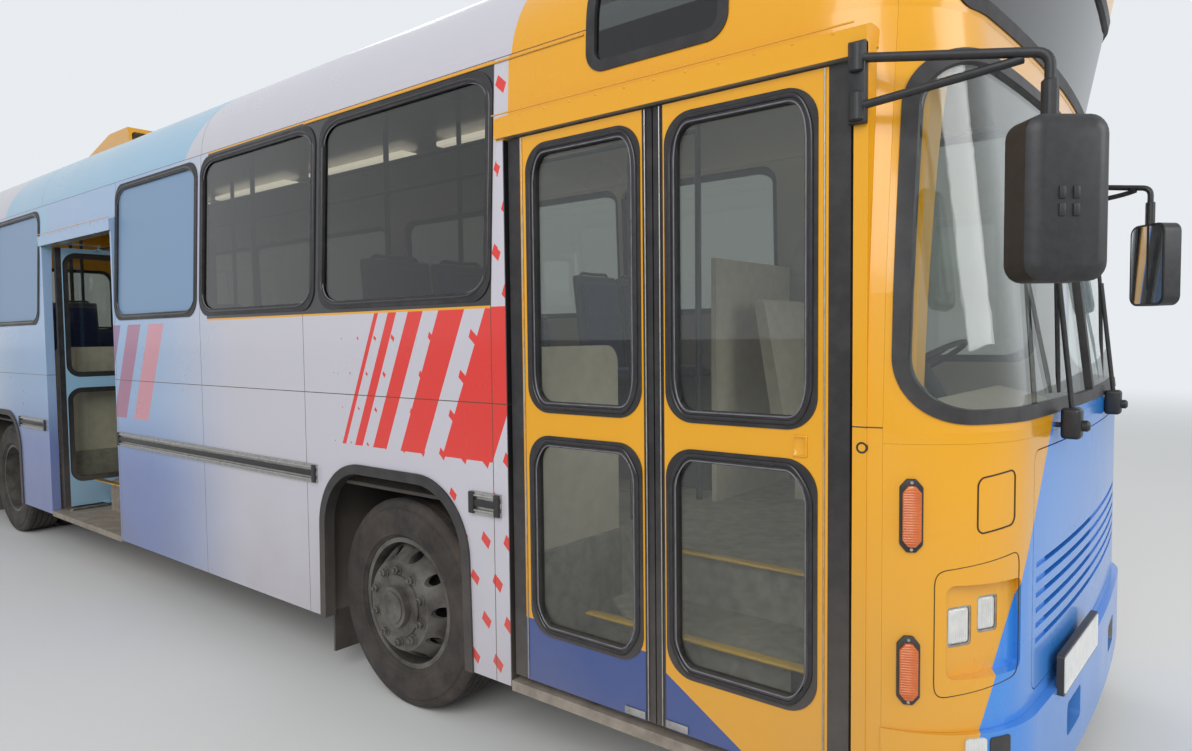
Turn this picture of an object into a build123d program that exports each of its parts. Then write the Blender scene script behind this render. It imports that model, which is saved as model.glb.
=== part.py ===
"""City bus: a two-axle, high-floor bus with two double doors on its right side.

Millimetres. +X points to the front, +Y to the left, +Z up. The origin is on the
ground, under the middle of the whole vehicle. Most lengthwise places are
stations measured from the front axle, positive towards the front.
"""

import os
from math import cos, radians, sin

from build123d import *

os.makedirs("parts", exist_ok=True)

# Main dimensions
AXLE_F = 3240
WHEELBASE = 5600
AXLE_R = AXLE_F - WHEELBASE
FRONT_OVERHANG = 2560
REAR_OVERHANG = 3440
HALF_WIDTH = 1250
WALL = 45
ROOF_WALL = 50
SEAM = 0.5
SKIRT_Z = 330
BELT_Z = 1800
CANT_Z = 2760
CANT_INSET = 40
COVE_RADIUS = 420
CROWN = 30
ROOF_Z = CANT_Z + COVE_RADIUS + CROWN

# Front and rear ends
FRONT_X = AXLE_F + FRONT_OVERHANG
REAR_X = AXLE_R - REAR_OVERHANG
BUMPER_PROUD = 25
MASK_X = FRONT_X - BUMPER_PROUD
FRONT_CORNER = 400
FRONT_BOW = 70
REAR_CORNER = 160
REAR_BOW = 40
POST_X = AXLE_F + 2205
REAR_SEAM_X = REAR_X + 220
BUMPER_LOW_Z = 300
BUMPER_TOP_Z = 600
MASK_TOP_Z = 1390
SCREEN_LOW_Z = 1420
SCREEN_HIGH_Z = 2590
SCREEN_RAKE = 140
DISPLAY_LEAN = 0.2
LOFT_TOP_Z = 3300
LEAN = CANT_INSET / (CANT_Z - BELT_Z)

# Floor and steps
FLOOR_Z = 800
FLOOR_THICK = 40
SILL_Z = 355
SILL_DEEP = 40
STEP_Z = 585
PLATE = 15
STEP_EDGE_Y = 950
FLOOR_EDGE_Y = 620

# Doorways: rear edge of each opening, as a station from the front axle
DOOR_STATIONS = {"front": 770, "mid": -4370}
DOOR_WIDTH = 1355
DOOR_TOP_Z = 2441
PORTAL_POST = 40
HEADER_TOP_Z = 2528
HEADER_PROUD = 12
HEADER_DEPTH = 160

# Door leaves and their turning posts
LEAF_THICK = 40
LEAF_FACE_Y = 1240
LEAF_GAP_JAMB = 12
LEAF_GAP_MIDDLE = 5
LEAF_LOW_Z = 380
LEAF_HIGH_Z = 2433
COLUMN_INSET = 122
COLUMN_RADIUS = 20
ARM_THICK = 10
ARM_WIDTH = 36

# Wheels and axles
TYRE_RADIUS = 480
TYRE_WIDTH = 275
RIM_RADIUS = 300
WHEEL_Z = TYRE_RADIUS
FRONT_TYRE_Y = 1042
REAR_TYRE_Y = 1050
TWIN_SPACING = 315
KINGPIN_Y = 900
ARCH_HALF = 545
ARCH_TOP_Z = 1110
ARCH_CORNER = 330
LIP = 45
LIP_PROUD = 10
CLEAR = 0.3

# Side windows: station of the rear edge of the glass, right side first
WINDOW_PITCH = 1235
WINDOW_GLASS = 1125
GLASS_LOW_Z = 1870
GLASS_HIGH_Z = 2700
WINDOW_CORNER = 70
RUBBER = 38
RUBBER_PROUD = 5
RUBBER_INSET = 22
GLASS_INSET = 8
GLASS_THICK = 6
RIGHT_WINDOWS = tuple(start - i * WINDOW_PITCH for start in (-480, -5660) for i in range(3))
LEFT_WINDOWS = RIGHT_WINDOWS[:3] + (-4420,) + RIGHT_WINDOWS[3:]
DRIVER_WINDOW = (900, 2080)
DRIVER_GLASS_LOW_Z = GLASS_LOW_Z - 300
SIDE_DISPLAY = (1190, 1680)
SIDE_DISPLAY_Z = (2640, 2920)
FRONT_DISPLAY_HALF = 1000
FRONT_DISPLAY_Z = (2640, 3020)
SCREEN_EDGE_X = AXLE_F + 2262
SCREEN_GLASS_Z = (1480, 2460)
SCREEN_CORNER = 150
PILLAR = 60
REAR_WINDOW_HALF = 900
REAR_WINDOW_Z = (1780, 2600)

# Front panel, lamps and bumper
PANEL_HALF = 850
PANEL_Z = (640, 1350)
PANEL_GAP = 4
SLOT_ROWS = 6
SLOT_PITCH = 45
SLOT_HIGH = 17
SLOT_Z = 897
SLOT_Y = (-690, 30)
GROOVE_HALF = 815
GROOVE_DEEP = 9
LAMP_X = AXLE_F + 2407
LAMP_Y = 1042
LAMP_Z = 875
LAMP_ANGLE = 30
LAMP_SIZE = 260
LAMP_DEPTH = 70
LENSES = ((-71, 7, 86, 112), (29, 31, 74, 104))
LENS_RECESS = 12
LAMP_PROUD = 8
FRONT_MARKERS = ((2243, 1103, 55, 192), (2239, 676, 55, 190))
REAR_LAMPS = ((1130, 960, 110, 330), (1130, 690, 110, 170))
TOW_RADIUS = 16
TOW_LENGTH = 80
TOW_TUBE = 32
TOW_Z = 450
TOW_RECESS = 65
BUMPER_HOLE = (200, 110)
SCREEN_BAR = 40
REAR_SLOT = (560, 28)
REAR_SLOT_Z = 900
REAR_SLOT_PITCH = 60
REAR_SLOT_COUNT = 6

# Wells, wheel housings and flaps
WELL_MARGIN = 36
COLUMN_Y = HALF_WIDTH - 100
POCKET_NOSE = 232
POCKET_SIDE = 15
POCKET_TURN = 360
POCKET_EDGE_Y = 495
HOUSING_LOW_Z = 330
HOUSING_TOP_Z = 1000
FRONT_HOUSING_HALF = 568
FRONT_HOUSING_Y = 560
REAR_HOUSING_HALF = 530
REAR_HOUSING_Y = 560
AXLE_NOTCH = 130
FLAP_THICK = 12
FLAP_WIDTH = 420
FLAP_Y = 960
FLAP_LOW_Z = 120

# Rub rails
RAIL_LOW = 989
RAIL_HIGH = 1079
RAIL_PROUD = 14

# Underframe and engine
BEAM_X = (-5600, 5300)
BEAM_Y = 430
BEAM_WIDTH = 70
BEAM_LOW_Z = 560
BEAM_HIGH_Z = FLOOR_Z - FLOOR_THICK
CROSS_HIGH = 120
CROSS_X = (-5450, -4050, -3300, -1500, 900, 2200)
INNER_CROSS_X = (-500, 4200, 5200)
ENGINE_X = (-5350, -4130)
ENGINE_Z = (440, 740)

# Door windows and seals
LEAF_WINDOWS = ((610, 1286), (1451, 2358))
LEAF_RUBBER = 40
LEAF_GLASS_CORNER = 60
LEAF_FRAME = 30
LEAF_EDGE = 7
SEAL_JAMB = 63
SEAL_MIDDLE = 39
LEAF_LUG = 12
GUIDE_INSET = 30
ARM_LIFT = 7
UPPER_ARM_Z = 2455
GEAR_Z = 2475
PIN_RADIUS = 8
DOOR_ANGLES = {"front": 0, "mid": 90}

# Wheel parts
RIM_HALF = 104
BEAD_RADIUS = 286
BULGE_RADIUS = 385
SHOULDER_RADIUS = 455
FLANGE = 10
RIM_STEEL = 8
DISC_JOIN = 40
DISC_STEEL = 14
DISC_KNEE = 205
DISC_OFFSET = TWIN_SPACING / 2
HUB_RADIUS = 140
HUB_CAP_RADIUS = 92
WHEEL_STUDS = 10
HAND_HOLE_PCD = 470
HAND_HOLE_RADIUS = 24
BRAKE_INNER = 75
BRAKE_RADIUS = 205
FRONT_CAP_END = 198
TWIN_INNER_Y = REAR_TYRE_Y - TWIN_SPACING
TWIN_FACE_Y = REAR_TYRE_Y - DISC_OFFSET
REAR_HUB_START = 650
REAR_CAP_END = 1080
SPINDLE_RADIUS = 40
REAR_SPINDLE_RADIUS = 50
REAR_TUBE = 75
DRIVE_RADIUS = 190
AXLE_BEAM = 90
DROP_Y = 590
DROP_Z = 430
BOSS_RADIUS = 45
BOSS_HALF = 60
KINGPIN_RADIUS = 22
LUG = 35
KNUCKLE_PLATE = 12
SPRING_SEAT_Z = 420
SPRING_RADIUS = 110
REAR_SPRING_X = 320

# Saloon
SEAT_Y = 765
SEAT_WIDE = 850
SEAT_Z = 440
SEAT_DEEP = 420
SEAT_BACK_Z = 1080
REAR_BENCH_X = -5560
HOUSING_SEAT_Z = HOUSING_TOP_Z + PLATE
RIGHT_SEATS = (
    (3050, HOUSING_SEAT_Z), (2060, FLOOR_Z), (1270, FLOOR_Z), (480, FLOOR_Z),
    (-2560, HOUSING_SEAT_Z), (-3400, FLOOR_Z), (-4150, FLOOR_Z), (-4850, FLOOR_Z),
)
LEFT_SEATS = (
    (3050, HOUSING_SEAT_Z), (2060, FLOOR_Z), (1270, FLOOR_Z), (480, FLOOR_Z), (-310, FLOOR_Z), (-1100, FLOOR_Z),
    (-2560, HOUSING_SEAT_Z), (-3400, FLOOR_Z), (-4150, FLOOR_Z), (-4850, FLOOR_Z),
)
RAIL_Y = 300
TUBE_RADIUS = 17
CEILING_RAIL_RADIUS = 14
CEILING_RAIL_Z = 2780
RIGHT_POLES = (-4950, -3450, -1250, 350, 2000, 3900)
LEFT_POLES = (-4950, -3450, -1150, 350, 2000, 3900)
PARTITION_X = (3925, 290, -1225)
PARTITION_Y = (480, 1180)
PARTITION_HIGH = 850
PARTITION_THICK = 25
DRIVER_X = 4500
DRIVER_Y = 740
DRIVER_SEAT_WIDE = 500
DRIVER_SCREEN = (30, 1300)
DASH_X = (5020, 5440)
DASH_Y = (-380, 1120)
DASH_Z = 1420
WHEEL_CENTRE_X = 4930
WHEEL_CENTRE_Z = 1530
HANDWHEEL_RADIUS = 230
HANDWHEEL_TILT = 30
GRIP_RADIUS = 14
COLUMN_LONG = 420

# Mirrors, wipers and roof vents
BRACKET_X = AXLE_F + 2140
BRACKET_HALF = 20
BRACKET_Z = (2300, 2430)
BRACKET_PROUD = 16
MIRROR_X = AXLE_F + 2575
MIRROR_Y = 1225
MIRROR_Z = 2000
ELBOW_Z = 2360
MIRROR_TUBE = 13
MIRROR_WIDE = 200
MIRROR_HIGH = 380
MIRROR_DEEP = 90
WIPER_FOOT_X = MASK_X + 30
WIPER_FOOT_Z = 1405
WIPER_HEAD_X = MASK_X - 30
WIPER_HEAD_Z = 1880
WIPERS = ((-620, -560), (300, 360))
SCOOP_X = (-1650, -630)
SCOOP_Y = (-760, -60)
SCOOP_HIGH = 170
HATCH_X = (2300, -3700)
HATCH_HALF = 380
HATCH_PROUD = 35


def place(station):
    """The X of a station measured from the front axle."""
    return AXLE_F + station


# Plan sections of the body: height, half width, X of the foremost point
SECTIONS = (
    (SKIRT_Z, HALF_WIDTH, MASK_X),
    (SCREEN_LOW_Z, HALF_WIDTH, MASK_X),
    (BELT_Z, HALF_WIDTH, MASK_X - SCREEN_RAKE * (BELT_Z - SCREEN_LOW_Z) / (SCREEN_HIGH_Z - SCREEN_LOW_Z)),
    (SCREEN_HIGH_Z, HALF_WIDTH - LEAN * (SCREEN_HIGH_Z - BELT_Z), MASK_X - SCREEN_RAKE),
    (
        LOFT_TOP_Z,
        HALF_WIDTH - LEAN * (LOFT_TOP_Z - BELT_Z),
        MASK_X - SCREEN_RAKE + DISPLAY_LEAN * (LOFT_TOP_Z - SCREEN_HIGH_Z),
    ),
)


def body_block(inset, top_inset=None, sections=SECTIONS):
    """The closed outer form of the body, moved inwards from its skin by inset."""
    top = inset if top_inset is None else top_inset
    with BuildPart() as block:
        for z, half_width, front_x in sections:
            w = half_width - inset
            x_front = front_x - inset
            x_rear = REAR_X + inset
            with BuildSketch(Plane.XY.offset(z)):
                with BuildLine():
                    ThreePointArc((x_front - FRONT_BOW, -w), (x_front, 0), (x_front - FRONT_BOW, w))
                    Line((x_front - FRONT_BOW, w), (x_rear + REAR_BOW, w))
                    ThreePointArc((x_rear + REAR_BOW, w), (x_rear, 0), (x_rear + REAR_BOW, -w))
                    Line((x_rear + REAR_BOW, -w), (x_front - FRONT_BOW, -w))
                make_face()
                fillet(vertices().sort_by(Axis.X)[:2], REAR_CORNER - inset)
                fillet(vertices().sort_by(Axis.X)[-2:], FRONT_CORNER - inset)
        loft(ruled=True)
        y_cove = HALF_WIDTH - CANT_INSET - COVE_RADIUS
        r = COVE_RADIUS - top
        s = r * 0.5**0.5
        wide = HALF_WIDTH + 100
        with BuildSketch(Plane.YZ):
            with BuildLine():
                Polyline(
                    (y_cove + r, CANT_Z), (wide, CANT_Z), (wide, 0), (-wide, 0), (-wide, CANT_Z),
                    (-y_cove - r, CANT_Z),
                )
                ThreePointArc((-y_cove - r, CANT_Z), (-y_cove - s, CANT_Z + s), (-y_cove, CANT_Z + r))
                ThreePointArc((-y_cove, CANT_Z + r), (0, ROOF_Z - top), (y_cove, CANT_Z + r))
                ThreePointArc((y_cove, CANT_Z + r), (y_cove + s, CANT_Z + s), (y_cove + r, CANT_Z))
            make_face()
        extrude(amount=FRONT_X + 500, both=True, mode=Mode.INTERSECT)
    return block.part


def zone(x0, x1, y0, y1, z0, z1):
    """A plain box between two corners, to pick out part of the body."""
    with BuildPart(mode=Mode.PRIVATE) as box:
        with Locations(((x0 + x1) / 2, (y0 + y1) / 2, (z0 + z1) / 2)):
            Box(x1 - x0, y1 - y0, z1 - z0)
    return box.part


def side_opening(x0, x1, z0, z1, radius, y0, y1):
    """A prism across the vehicle with rounded corners in side view."""
    with BuildPart(mode=Mode.PRIVATE) as prism:
        with BuildSketch(Plane.XZ.offset(-y1)):
            with Locations(((x0 + x1) / 2, (z0 + z1) / 2)):
                RectangleRounded(x1 - x0, z1 - z0, radius)
        extrude(amount=y1 - y0)
    return prism.part


def front_opening(y0, y1, z0, z1, radius, x0, x1):
    """A prism along the vehicle with rounded corners in front view."""
    with BuildPart(mode=Mode.PRIVATE) as prism:
        with BuildSketch(Plane.YZ.offset(x0)):
            with Locations(((y0 + y1) / 2, (z0 + z1) / 2)):
                RectangleRounded(y1 - y0, z1 - z0, radius)
        extrude(amount=x1 - x0)
    return prism.part


def save(part, name):
    """Labels a finished piece and writes it."""
    part.label = name
    export_step(part, f"parts/{name}.step")


skin = body_block(0)
inner = body_block(WALL, ROOF_WALL)
FAR = HALF_WIDTH + 200
INNER_Y = HALF_WIDTH - WALL

# Wheel arch outline, used for the walls and for the rubber lips
def arch_prism(axle_x, shrink, y0, y1):
    """A prism with the outline of a wheel arch, made smaller all round by shrink."""
    half = ARCH_HALF - shrink
    with BuildPart(mode=Mode.PRIVATE) as arch:
        with BuildSketch(Plane.XZ.offset(-y1)) as outline:
            with BuildLine():
                Polyline(
                    (axle_x - half - 15, 0), (axle_x + half + 15, 0), (axle_x + half - 10, ARCH_TOP_Z - shrink),
                    (axle_x - half + 10, ARCH_TOP_Z - shrink), (axle_x - half - 15, 0),
                )
            make_face()
            fillet(outline.vertices().group_by(Axis.Y)[-1], ARCH_CORNER - shrink)
        extrude(amount=y1 - y0)
    return arch.part


# Side walls: a leaning box-section wall with its windows, doorways and arches cut
def door_portal(station):
    """The upright frame round a doorway, with the gutter beam over it."""
    x0 = place(station) - PORTAL_POST
    x1 = place(station) + DOOR_WIDTH + PORTAL_POST
    with BuildPart(mode=Mode.PRIVATE) as portal:
        with Locations(((x0 + x1) / 2, -HALF_WIDTH + 30, (SKIRT_Z + DOOR_TOP_Z) / 2)):
            Box(x1 - x0, 60, DOOR_TOP_Z - SKIRT_Z)
        with BuildSketch(Plane.YZ.offset(x0)):
            with BuildLine():
                Polyline(
                    (-HALF_WIDTH - HEADER_PROUD, DOOR_TOP_Z), (-HALF_WIDTH + 60, DOOR_TOP_Z),
                    (-HALF_WIDTH + 60, GEAR_Z), (-HALF_WIDTH + HEADER_DEPTH, GEAR_Z),
                    (-HALF_WIDTH + HEADER_DEPTH, HEADER_TOP_Z), (-HALF_WIDTH + 20, HEADER_TOP_Z),
                    (-HALF_WIDTH - HEADER_PROUD, HEADER_TOP_Z - 12), (-HALF_WIDTH - HEADER_PROUD, DOOR_TOP_Z),
                )
            make_face()
        extrude(amount=x1 - x0)
    return portal.part


def display_prism(shrink):
    """The opening of the route display in the cove over the front door."""
    x0, x1 = (place(s) for s in SIDE_DISPLAY)
    z0, z1 = SIDE_DISPLAY_Z
    return side_opening(x0 + shrink, x1 - shrink, z0 + shrink, z1 - shrink, 40 - shrink, -FAR, -600)


def side_wall(side):
    """side is -1 for the right wall, which has the doorways, and 1 for the left."""
    y_near, y_far = sorted((side * (HALF_WIDTH - 400), side * FAR))
    with BuildPart() as wall:
        add(skin - inner)
        add(zone(REAR_SEAM_X + SEAM, POST_X - SEAM, y_near, y_far, SKIRT_Z, CANT_Z - SEAM), mode=Mode.INTERSECT)
        if side < 0:
            for station in DOOR_STATIONS.values():
                add(door_portal(station))
                x0 = place(station)
                add(zone(x0, x0 + DOOR_WIDTH, -FAR, -HALF_WIDTH + 400, 0, DOOR_TOP_Z), mode=Mode.SUBTRACT)
        for axle_x in (AXLE_F, AXLE_R):
            add(arch_prism(axle_x, 0, y_near, y_far), mode=Mode.SUBTRACT)
        for station in RIGHT_WINDOWS if side < 0 else LEFT_WINDOWS:
            x0 = place(station)
            add(
                side_opening(
                    x0 - RUBBER, x0 + WINDOW_GLASS + RUBBER, GLASS_LOW_Z - RUBBER, GLASS_HIGH_Z + RUBBER,
                    WINDOW_CORNER + RUBBER, y_near, y_far,
                ),
                mode=Mode.SUBTRACT,
            )
        if side < 0:
            add(display_prism(-RUBBER), mode=Mode.SUBTRACT)
        if side > 0:
            x0, x1 = (place(s) for s in DRIVER_WINDOW)
            add(
                side_opening(
                    x0 - RUBBER, x1 + RUBBER, DRIVER_GLASS_LOW_Z - RUBBER, GLASS_HIGH_Z + RUBBER,
                    WINDOW_CORNER + RUBBER, y_near, y_far,
                ),
                mode=Mode.SUBTRACT,
            )
    return wall.part


walls = {side: side_wall(side) for side in (-1, 1)}
save(walls[-1], "side_wall_right")
save(walls[1], "side_wall_left")

# Roof, from the rear seam to the corner posts
with BuildPart() as roof:
    add(skin - inner)
    add(zone(REAR_SEAM_X + SEAM, POST_X - SEAM, -FAR, FAR, CANT_Z, LOFT_TOP_Z), mode=Mode.INTERSECT)
    add(display_prism(-RUBBER), mode=Mode.SUBTRACT)
save(roof.part, "roof")


# Shells that glass, rubber and lamps are cut from
glass_shell = body_block(GLASS_INSET) - body_block(GLASS_INSET + GLASS_THICK)
rubber_shell = body_block(-RUBBER_PROUD) - body_block(RUBBER_INSET)
proud_shell = body_block(-LAMP_PROUD) - skin


def screen_prism(shrink):
    """The windscreen's outline from the side: it wraps round both front corners."""
    z0, z1 = SCREEN_GLASS_Z
    x0 = SCREEN_EDGE_X + shrink
    return side_opening(x0, FRONT_X + 400, z0 + shrink, z1 - shrink, SCREEN_CORNER - shrink, -FAR, FAR)


def front_display_prism(shrink):
    """The opening of the route display over the windscreen."""
    half = FRONT_DISPLAY_HALF - shrink
    z0, z1 = FRONT_DISPLAY_Z
    return front_opening(-half, half, z0 + shrink, z1 - shrink, 60 - shrink, POST_X - 200, FRONT_X + 200)


def rear_window_prism(shrink):
    """The opening of the rear window."""
    half = REAR_WINDOW_HALF - shrink
    z0, z1 = REAR_WINDOW_Z
    return front_opening(-half, half, z0 + shrink, z1 - shrink, 120 - shrink, REAR_X - 200, REAR_SEAM_X + 50)


def window_prisms(shrink):
    """The outlines of all the side windows, each across its own wall."""
    prisms = []
    for side, stations in ((-1, RIGHT_WINDOWS), (1, LEFT_WINDOWS)):
        y_near, y_far = sorted((side * (HALF_WIDTH - 400), side * FAR))
        for station in stations:
            x0 = place(station)
            prisms.append(
                side_opening(
                    x0 + shrink, x0 + WINDOW_GLASS - shrink, GLASS_LOW_Z + shrink, GLASS_HIGH_Z - shrink,
                    WINDOW_CORNER - shrink, y_near, y_far,
                )
            )
    x0, x1 = (place(s) for s in DRIVER_WINDOW)
    prisms.append(
        side_opening(
            x0 + shrink, x1 - shrink, DRIVER_GLASS_LOW_Z + shrink, GLASS_HIGH_Z - shrink,
            WINDOW_CORNER - shrink, HALF_WIDTH - 400, FAR,
        )
    )
    return prisms


def ring(shell, prism):
    """A rubber ring: the shell between a glass's outline and the body's opening."""
    with BuildPart(mode=Mode.PRIVATE) as rubber:
        add(shell)
        add(prism(-RUBBER), mode=Mode.INTERSECT)
        add(prism(0), mode=Mode.SUBTRACT)
    return rubber.part


# Front dome: the display housing above the windscreen, with a pillar inside each corner
with BuildPart() as front_dome:
    add(skin - inner)
    add(zone(POST_X, FRONT_X + 200, -FAR, FAR, MASK_TOP_Z + SEAM, LOFT_TOP_Z), mode=Mode.INTERSECT)
    add(screen_prism(-RUBBER), mode=Mode.SUBTRACT)
    add(front_display_prism(-RUBBER), mode=Mode.SUBTRACT)
    pillar_shell = inner - body_block(WALL + PILLAR)
    for side in (-1, 1):
        y0, y1 = sorted((side * (HALF_WIDTH - FRONT_CORNER), side * FAR))
        add(pillar_shell & zone(POST_X, POST_X + PILLAR, y0, y1, MASK_TOP_Z + SEAM, SCREEN_HIGH_Z))
save(front_dome.part, "front_dome")


def lamp_plane(side):
    """The face of a headlamp unit, turned outwards with the corner."""
    a = radians(LAMP_ANGLE)
    return Plane(
        origin=(LAMP_X, side * LAMP_Y, LAMP_Z),
        x_dir=(-side * sin(a), cos(a), 0),
        z_dir=(cos(a), side * sin(a), 0),
    )


def lamp_block(side, reach, depth):
    """The outline of a headlamp unit, from reach in front of its face to depth behind."""
    with BuildPart(mode=Mode.PRIVATE) as block:
        with BuildSketch(lamp_plane(side).offset(reach)):
            RectangleRounded(LAMP_SIZE, LAMP_SIZE, 25)
        extrude(amount=-reach - depth)
    return block.part


# Front mask, with openings for the lamps and the access panel
panel_prism = front_opening(-PANEL_HALF, PANEL_HALF, PANEL_Z[0], PANEL_Z[1], 40, POST_X, FRONT_X + 100)
with BuildPart() as front_mask:
    add(skin - inner)
    add(zone(POST_X, FRONT_X + 200, -FAR, FAR, BUMPER_TOP_Z + SEAM, MASK_TOP_Z), mode=Mode.INTERSECT)
    add(panel_prism, mode=Mode.SUBTRACT)
    for side in (-1, 1):
        add(lamp_block(side, 120, 160), mode=Mode.SUBTRACT)
save(front_mask.part, "front_mask")

# Access panel below the windscreen: grooves right across, open as radiator slots in one part
with BuildPart() as front_panel:
    add(skin - inner)
    add(
        front_opening(
            -PANEL_HALF + PANEL_GAP, PANEL_HALF - PANEL_GAP, PANEL_Z[0] + PANEL_GAP, PANEL_Z[1] - PANEL_GAP,
            40 - PANEL_GAP, POST_X, FRONT_X + 100,
        ),
        mode=Mode.INTERSECT,
    )
    with BuildPart(mode=Mode.PRIVATE) as grooves:
        with BuildSketch(Plane.YZ.offset(FRONT_X - 300)):
            with Locations((0, SLOT_Z)):
                with GridLocations(1, SLOT_PITCH, 1, SLOT_ROWS):
                    Rectangle(2 * GROOVE_HALF, SLOT_HIGH)
        extrude(amount=600)
        add(skin, mode=Mode.INTERSECT)
        add(body_block(GROOVE_DEEP), mode=Mode.SUBTRACT)
    add(grooves.part, mode=Mode.SUBTRACT)
    with BuildSketch(Plane.YZ.offset(FRONT_X - 300)):
        with Locations((sum(SLOT_Y) / 2, SLOT_Z)):
            with GridLocations(1, SLOT_PITCH, 1, SLOT_ROWS):
                SlotOverall(SLOT_Y[1] - SLOT_Y[0], SLOT_HIGH)
    extrude(amount=600, mode=Mode.SUBTRACT)
    for side in (-1, 1):
        y0, y1 = sorted((side * (PANEL_HALF - 190), side * (PANEL_HALF - 30)))
        add(zone(FRONT_X - 150, FRONT_X, y0, y1, PANEL_Z[1] - 60, PANEL_Z[1] + 25) & inner)
save(front_panel.part, "front_panel")

# Headlamp housings and their lenses
with BuildPart() as lamp_housings:
    for side in (-1, 1):
        add(lamp_block(side, 0, LAMP_DEPTH))
        with BuildSketch(lamp_plane(side)):
            for x, z, wide, high in LENSES:
                with Locations((-side * x, z)):
                    RectangleRounded(wide, high, 12)
        extrude(amount=-LENS_RECESS - 20, mode=Mode.SUBTRACT)
save(lamp_housings.part, "lamp_housings")

with BuildPart() as headlamps:
    for side in (-1, 1):
        with BuildSketch(lamp_plane(side).offset(-LENS_RECESS)):
            for x, z, wide, high in LENSES:
                with Locations((-side * x, z)):
                    RectangleRounded(wide, high, 12)
        extrude(amount=-20)
save(headlamps.part, "headlamps")

# Turn signals and rear lamps: pads that follow the body's skin
with BuildPart() as signal_lamps:
    with BuildPart(mode=Mode.PRIVATE) as pads:
        for station, z, wide, high in FRONT_MARKERS:
            add(side_opening(place(station), place(station) + wide, z, z + high, 15, -FAR, FAR))
        for y, z, wide, high in REAR_LAMPS:
            for side in (-1, 1):
                y0, y1 = sorted((side * y, side * (y - wide)))
                add(front_opening(y0, y1, z, z + high, 20, REAR_X - 100, REAR_SEAM_X))
    add(proud_shell)
    add(pads.part, mode=Mode.INTERSECT)
save(signal_lamps.part, "signal_lamps")


def bumper_block(inset):
    """A closed block with the bumper's plan, moved in by inset."""
    with BuildPart(mode=Mode.PRIVATE) as block:
        with BuildSketch(Plane.XY.offset(BUMPER_LOW_Z)):
            w = HALF_WIDTH - inset
            x_front = FRONT_X - inset
            x_rear = REAR_X + inset
            with BuildLine():
                ThreePointArc((x_front - FRONT_BOW, -w), (x_front, 0), (x_front - FRONT_BOW, w))
                Line((x_front - FRONT_BOW, w), (x_rear + REAR_BOW, w))
                ThreePointArc((x_rear + REAR_BOW, w), (x_rear, 0), (x_rear + REAR_BOW, -w))
                Line((x_rear + REAR_BOW, -w), (x_front - FRONT_BOW, -w))
            make_face()
            fillet(vertices().sort_by(Axis.X)[:2], REAR_CORNER - inset)
            fillet(vertices().sort_by(Axis.X)[-2:], FRONT_CORNER - inset)
        extrude(amount=BUMPER_TOP_Z - BUMPER_LOW_Z)
    return block.part


bumper_shell = bumper_block(0) - bumper_block(WALL)
for name, x0, x1 in (("front_bumper", POST_X, FRONT_X + 100), ("rear_bumper", REAR_X - 100, REAR_SEAM_X)):
    with BuildPart() as bumper:
        add(bumper_shell)
        add(zone(x0, x1, -FAR, FAR, 0, BUMPER_TOP_Z), mode=Mode.INTERSECT)
        with BuildSketch(Plane.YZ.offset(x0)):
            for side in (-1, 1):
                with Locations((side * BEAM_Y, TOW_Z)):
                    RectangleRounded(*BUMPER_HOLE, 20)
        extrude(amount=x1 - x0, mode=Mode.SUBTRACT)
    save(bumper.part, name)

# Rear wall, with the rear window's opening and the engine's air slots
with BuildPart() as rear_wall:
    add(skin - inner)
    add(zone(REAR_X - 100, REAR_SEAM_X, -FAR, FAR, BUMPER_TOP_Z + SEAM, LOFT_TOP_Z), mode=Mode.INTERSECT)
    add(rear_window_prism(-RUBBER), mode=Mode.SUBTRACT)
    with BuildSketch(Plane.YZ.offset(REAR_X - 100)):
        with Locations((0, REAR_SLOT_Z)):
            with GridLocations(REAR_SLOT[0] + 60, REAR_SLOT_PITCH, 2, REAR_SLOT_COUNT):
                RectangleRounded(*REAR_SLOT, 10)
    extrude(amount=400, mode=Mode.SUBTRACT)
save(rear_wall.part, "rear_wall")


# Glass: each pane is cut from one thin shell that follows the skin
def panes(prisms):
    """The glass inside the given outlines."""
    with BuildPart(mode=Mode.PRIVATE) as openings:
        add(prisms)
    return glass_shell & openings.part


screen_split = zone(POST_X, FRONT_X + 100, -SCREEN_BAR / 2, SCREEN_BAR / 2, 0, CANT_Z)
save(Part() + panes([screen_prism(0)]) - screen_split, "windscreen")
save(Part() + panes(window_prisms(0) + [rear_window_prism(0)]), "saloon_windows")
save(Part() + panes([front_display_prism(0), display_prism(0)]), "display_panes")

# Rubber rings round every pane, and the bar between the two windscreen panes
with BuildPart() as window_rubbers:
    add(ring(rubber_shell, screen_prism))
    add(ring(rubber_shell, front_display_prism))
    add(ring(rubber_shell, rear_window_prism))
    add(ring(rubber_shell, display_prism))
    add(rubber_shell & (screen_prism(0) & screen_split))
    for outer_prism, inner_prism in zip(window_prisms(-RUBBER), window_prisms(0)):
        add(rubber_shell & (outer_prism - inner_prism))
save(window_rubbers.part, "window_rubbers")


# Floor: a deck between the walls, with the stepped wells and the wheel housings cut out
def well_range(station):
    """The lengthwise limits of a doorway's stepped well."""
    return place(station) - WELL_MARGIN, place(station) + DOOR_WIDTH + WELL_MARGIN


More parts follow.
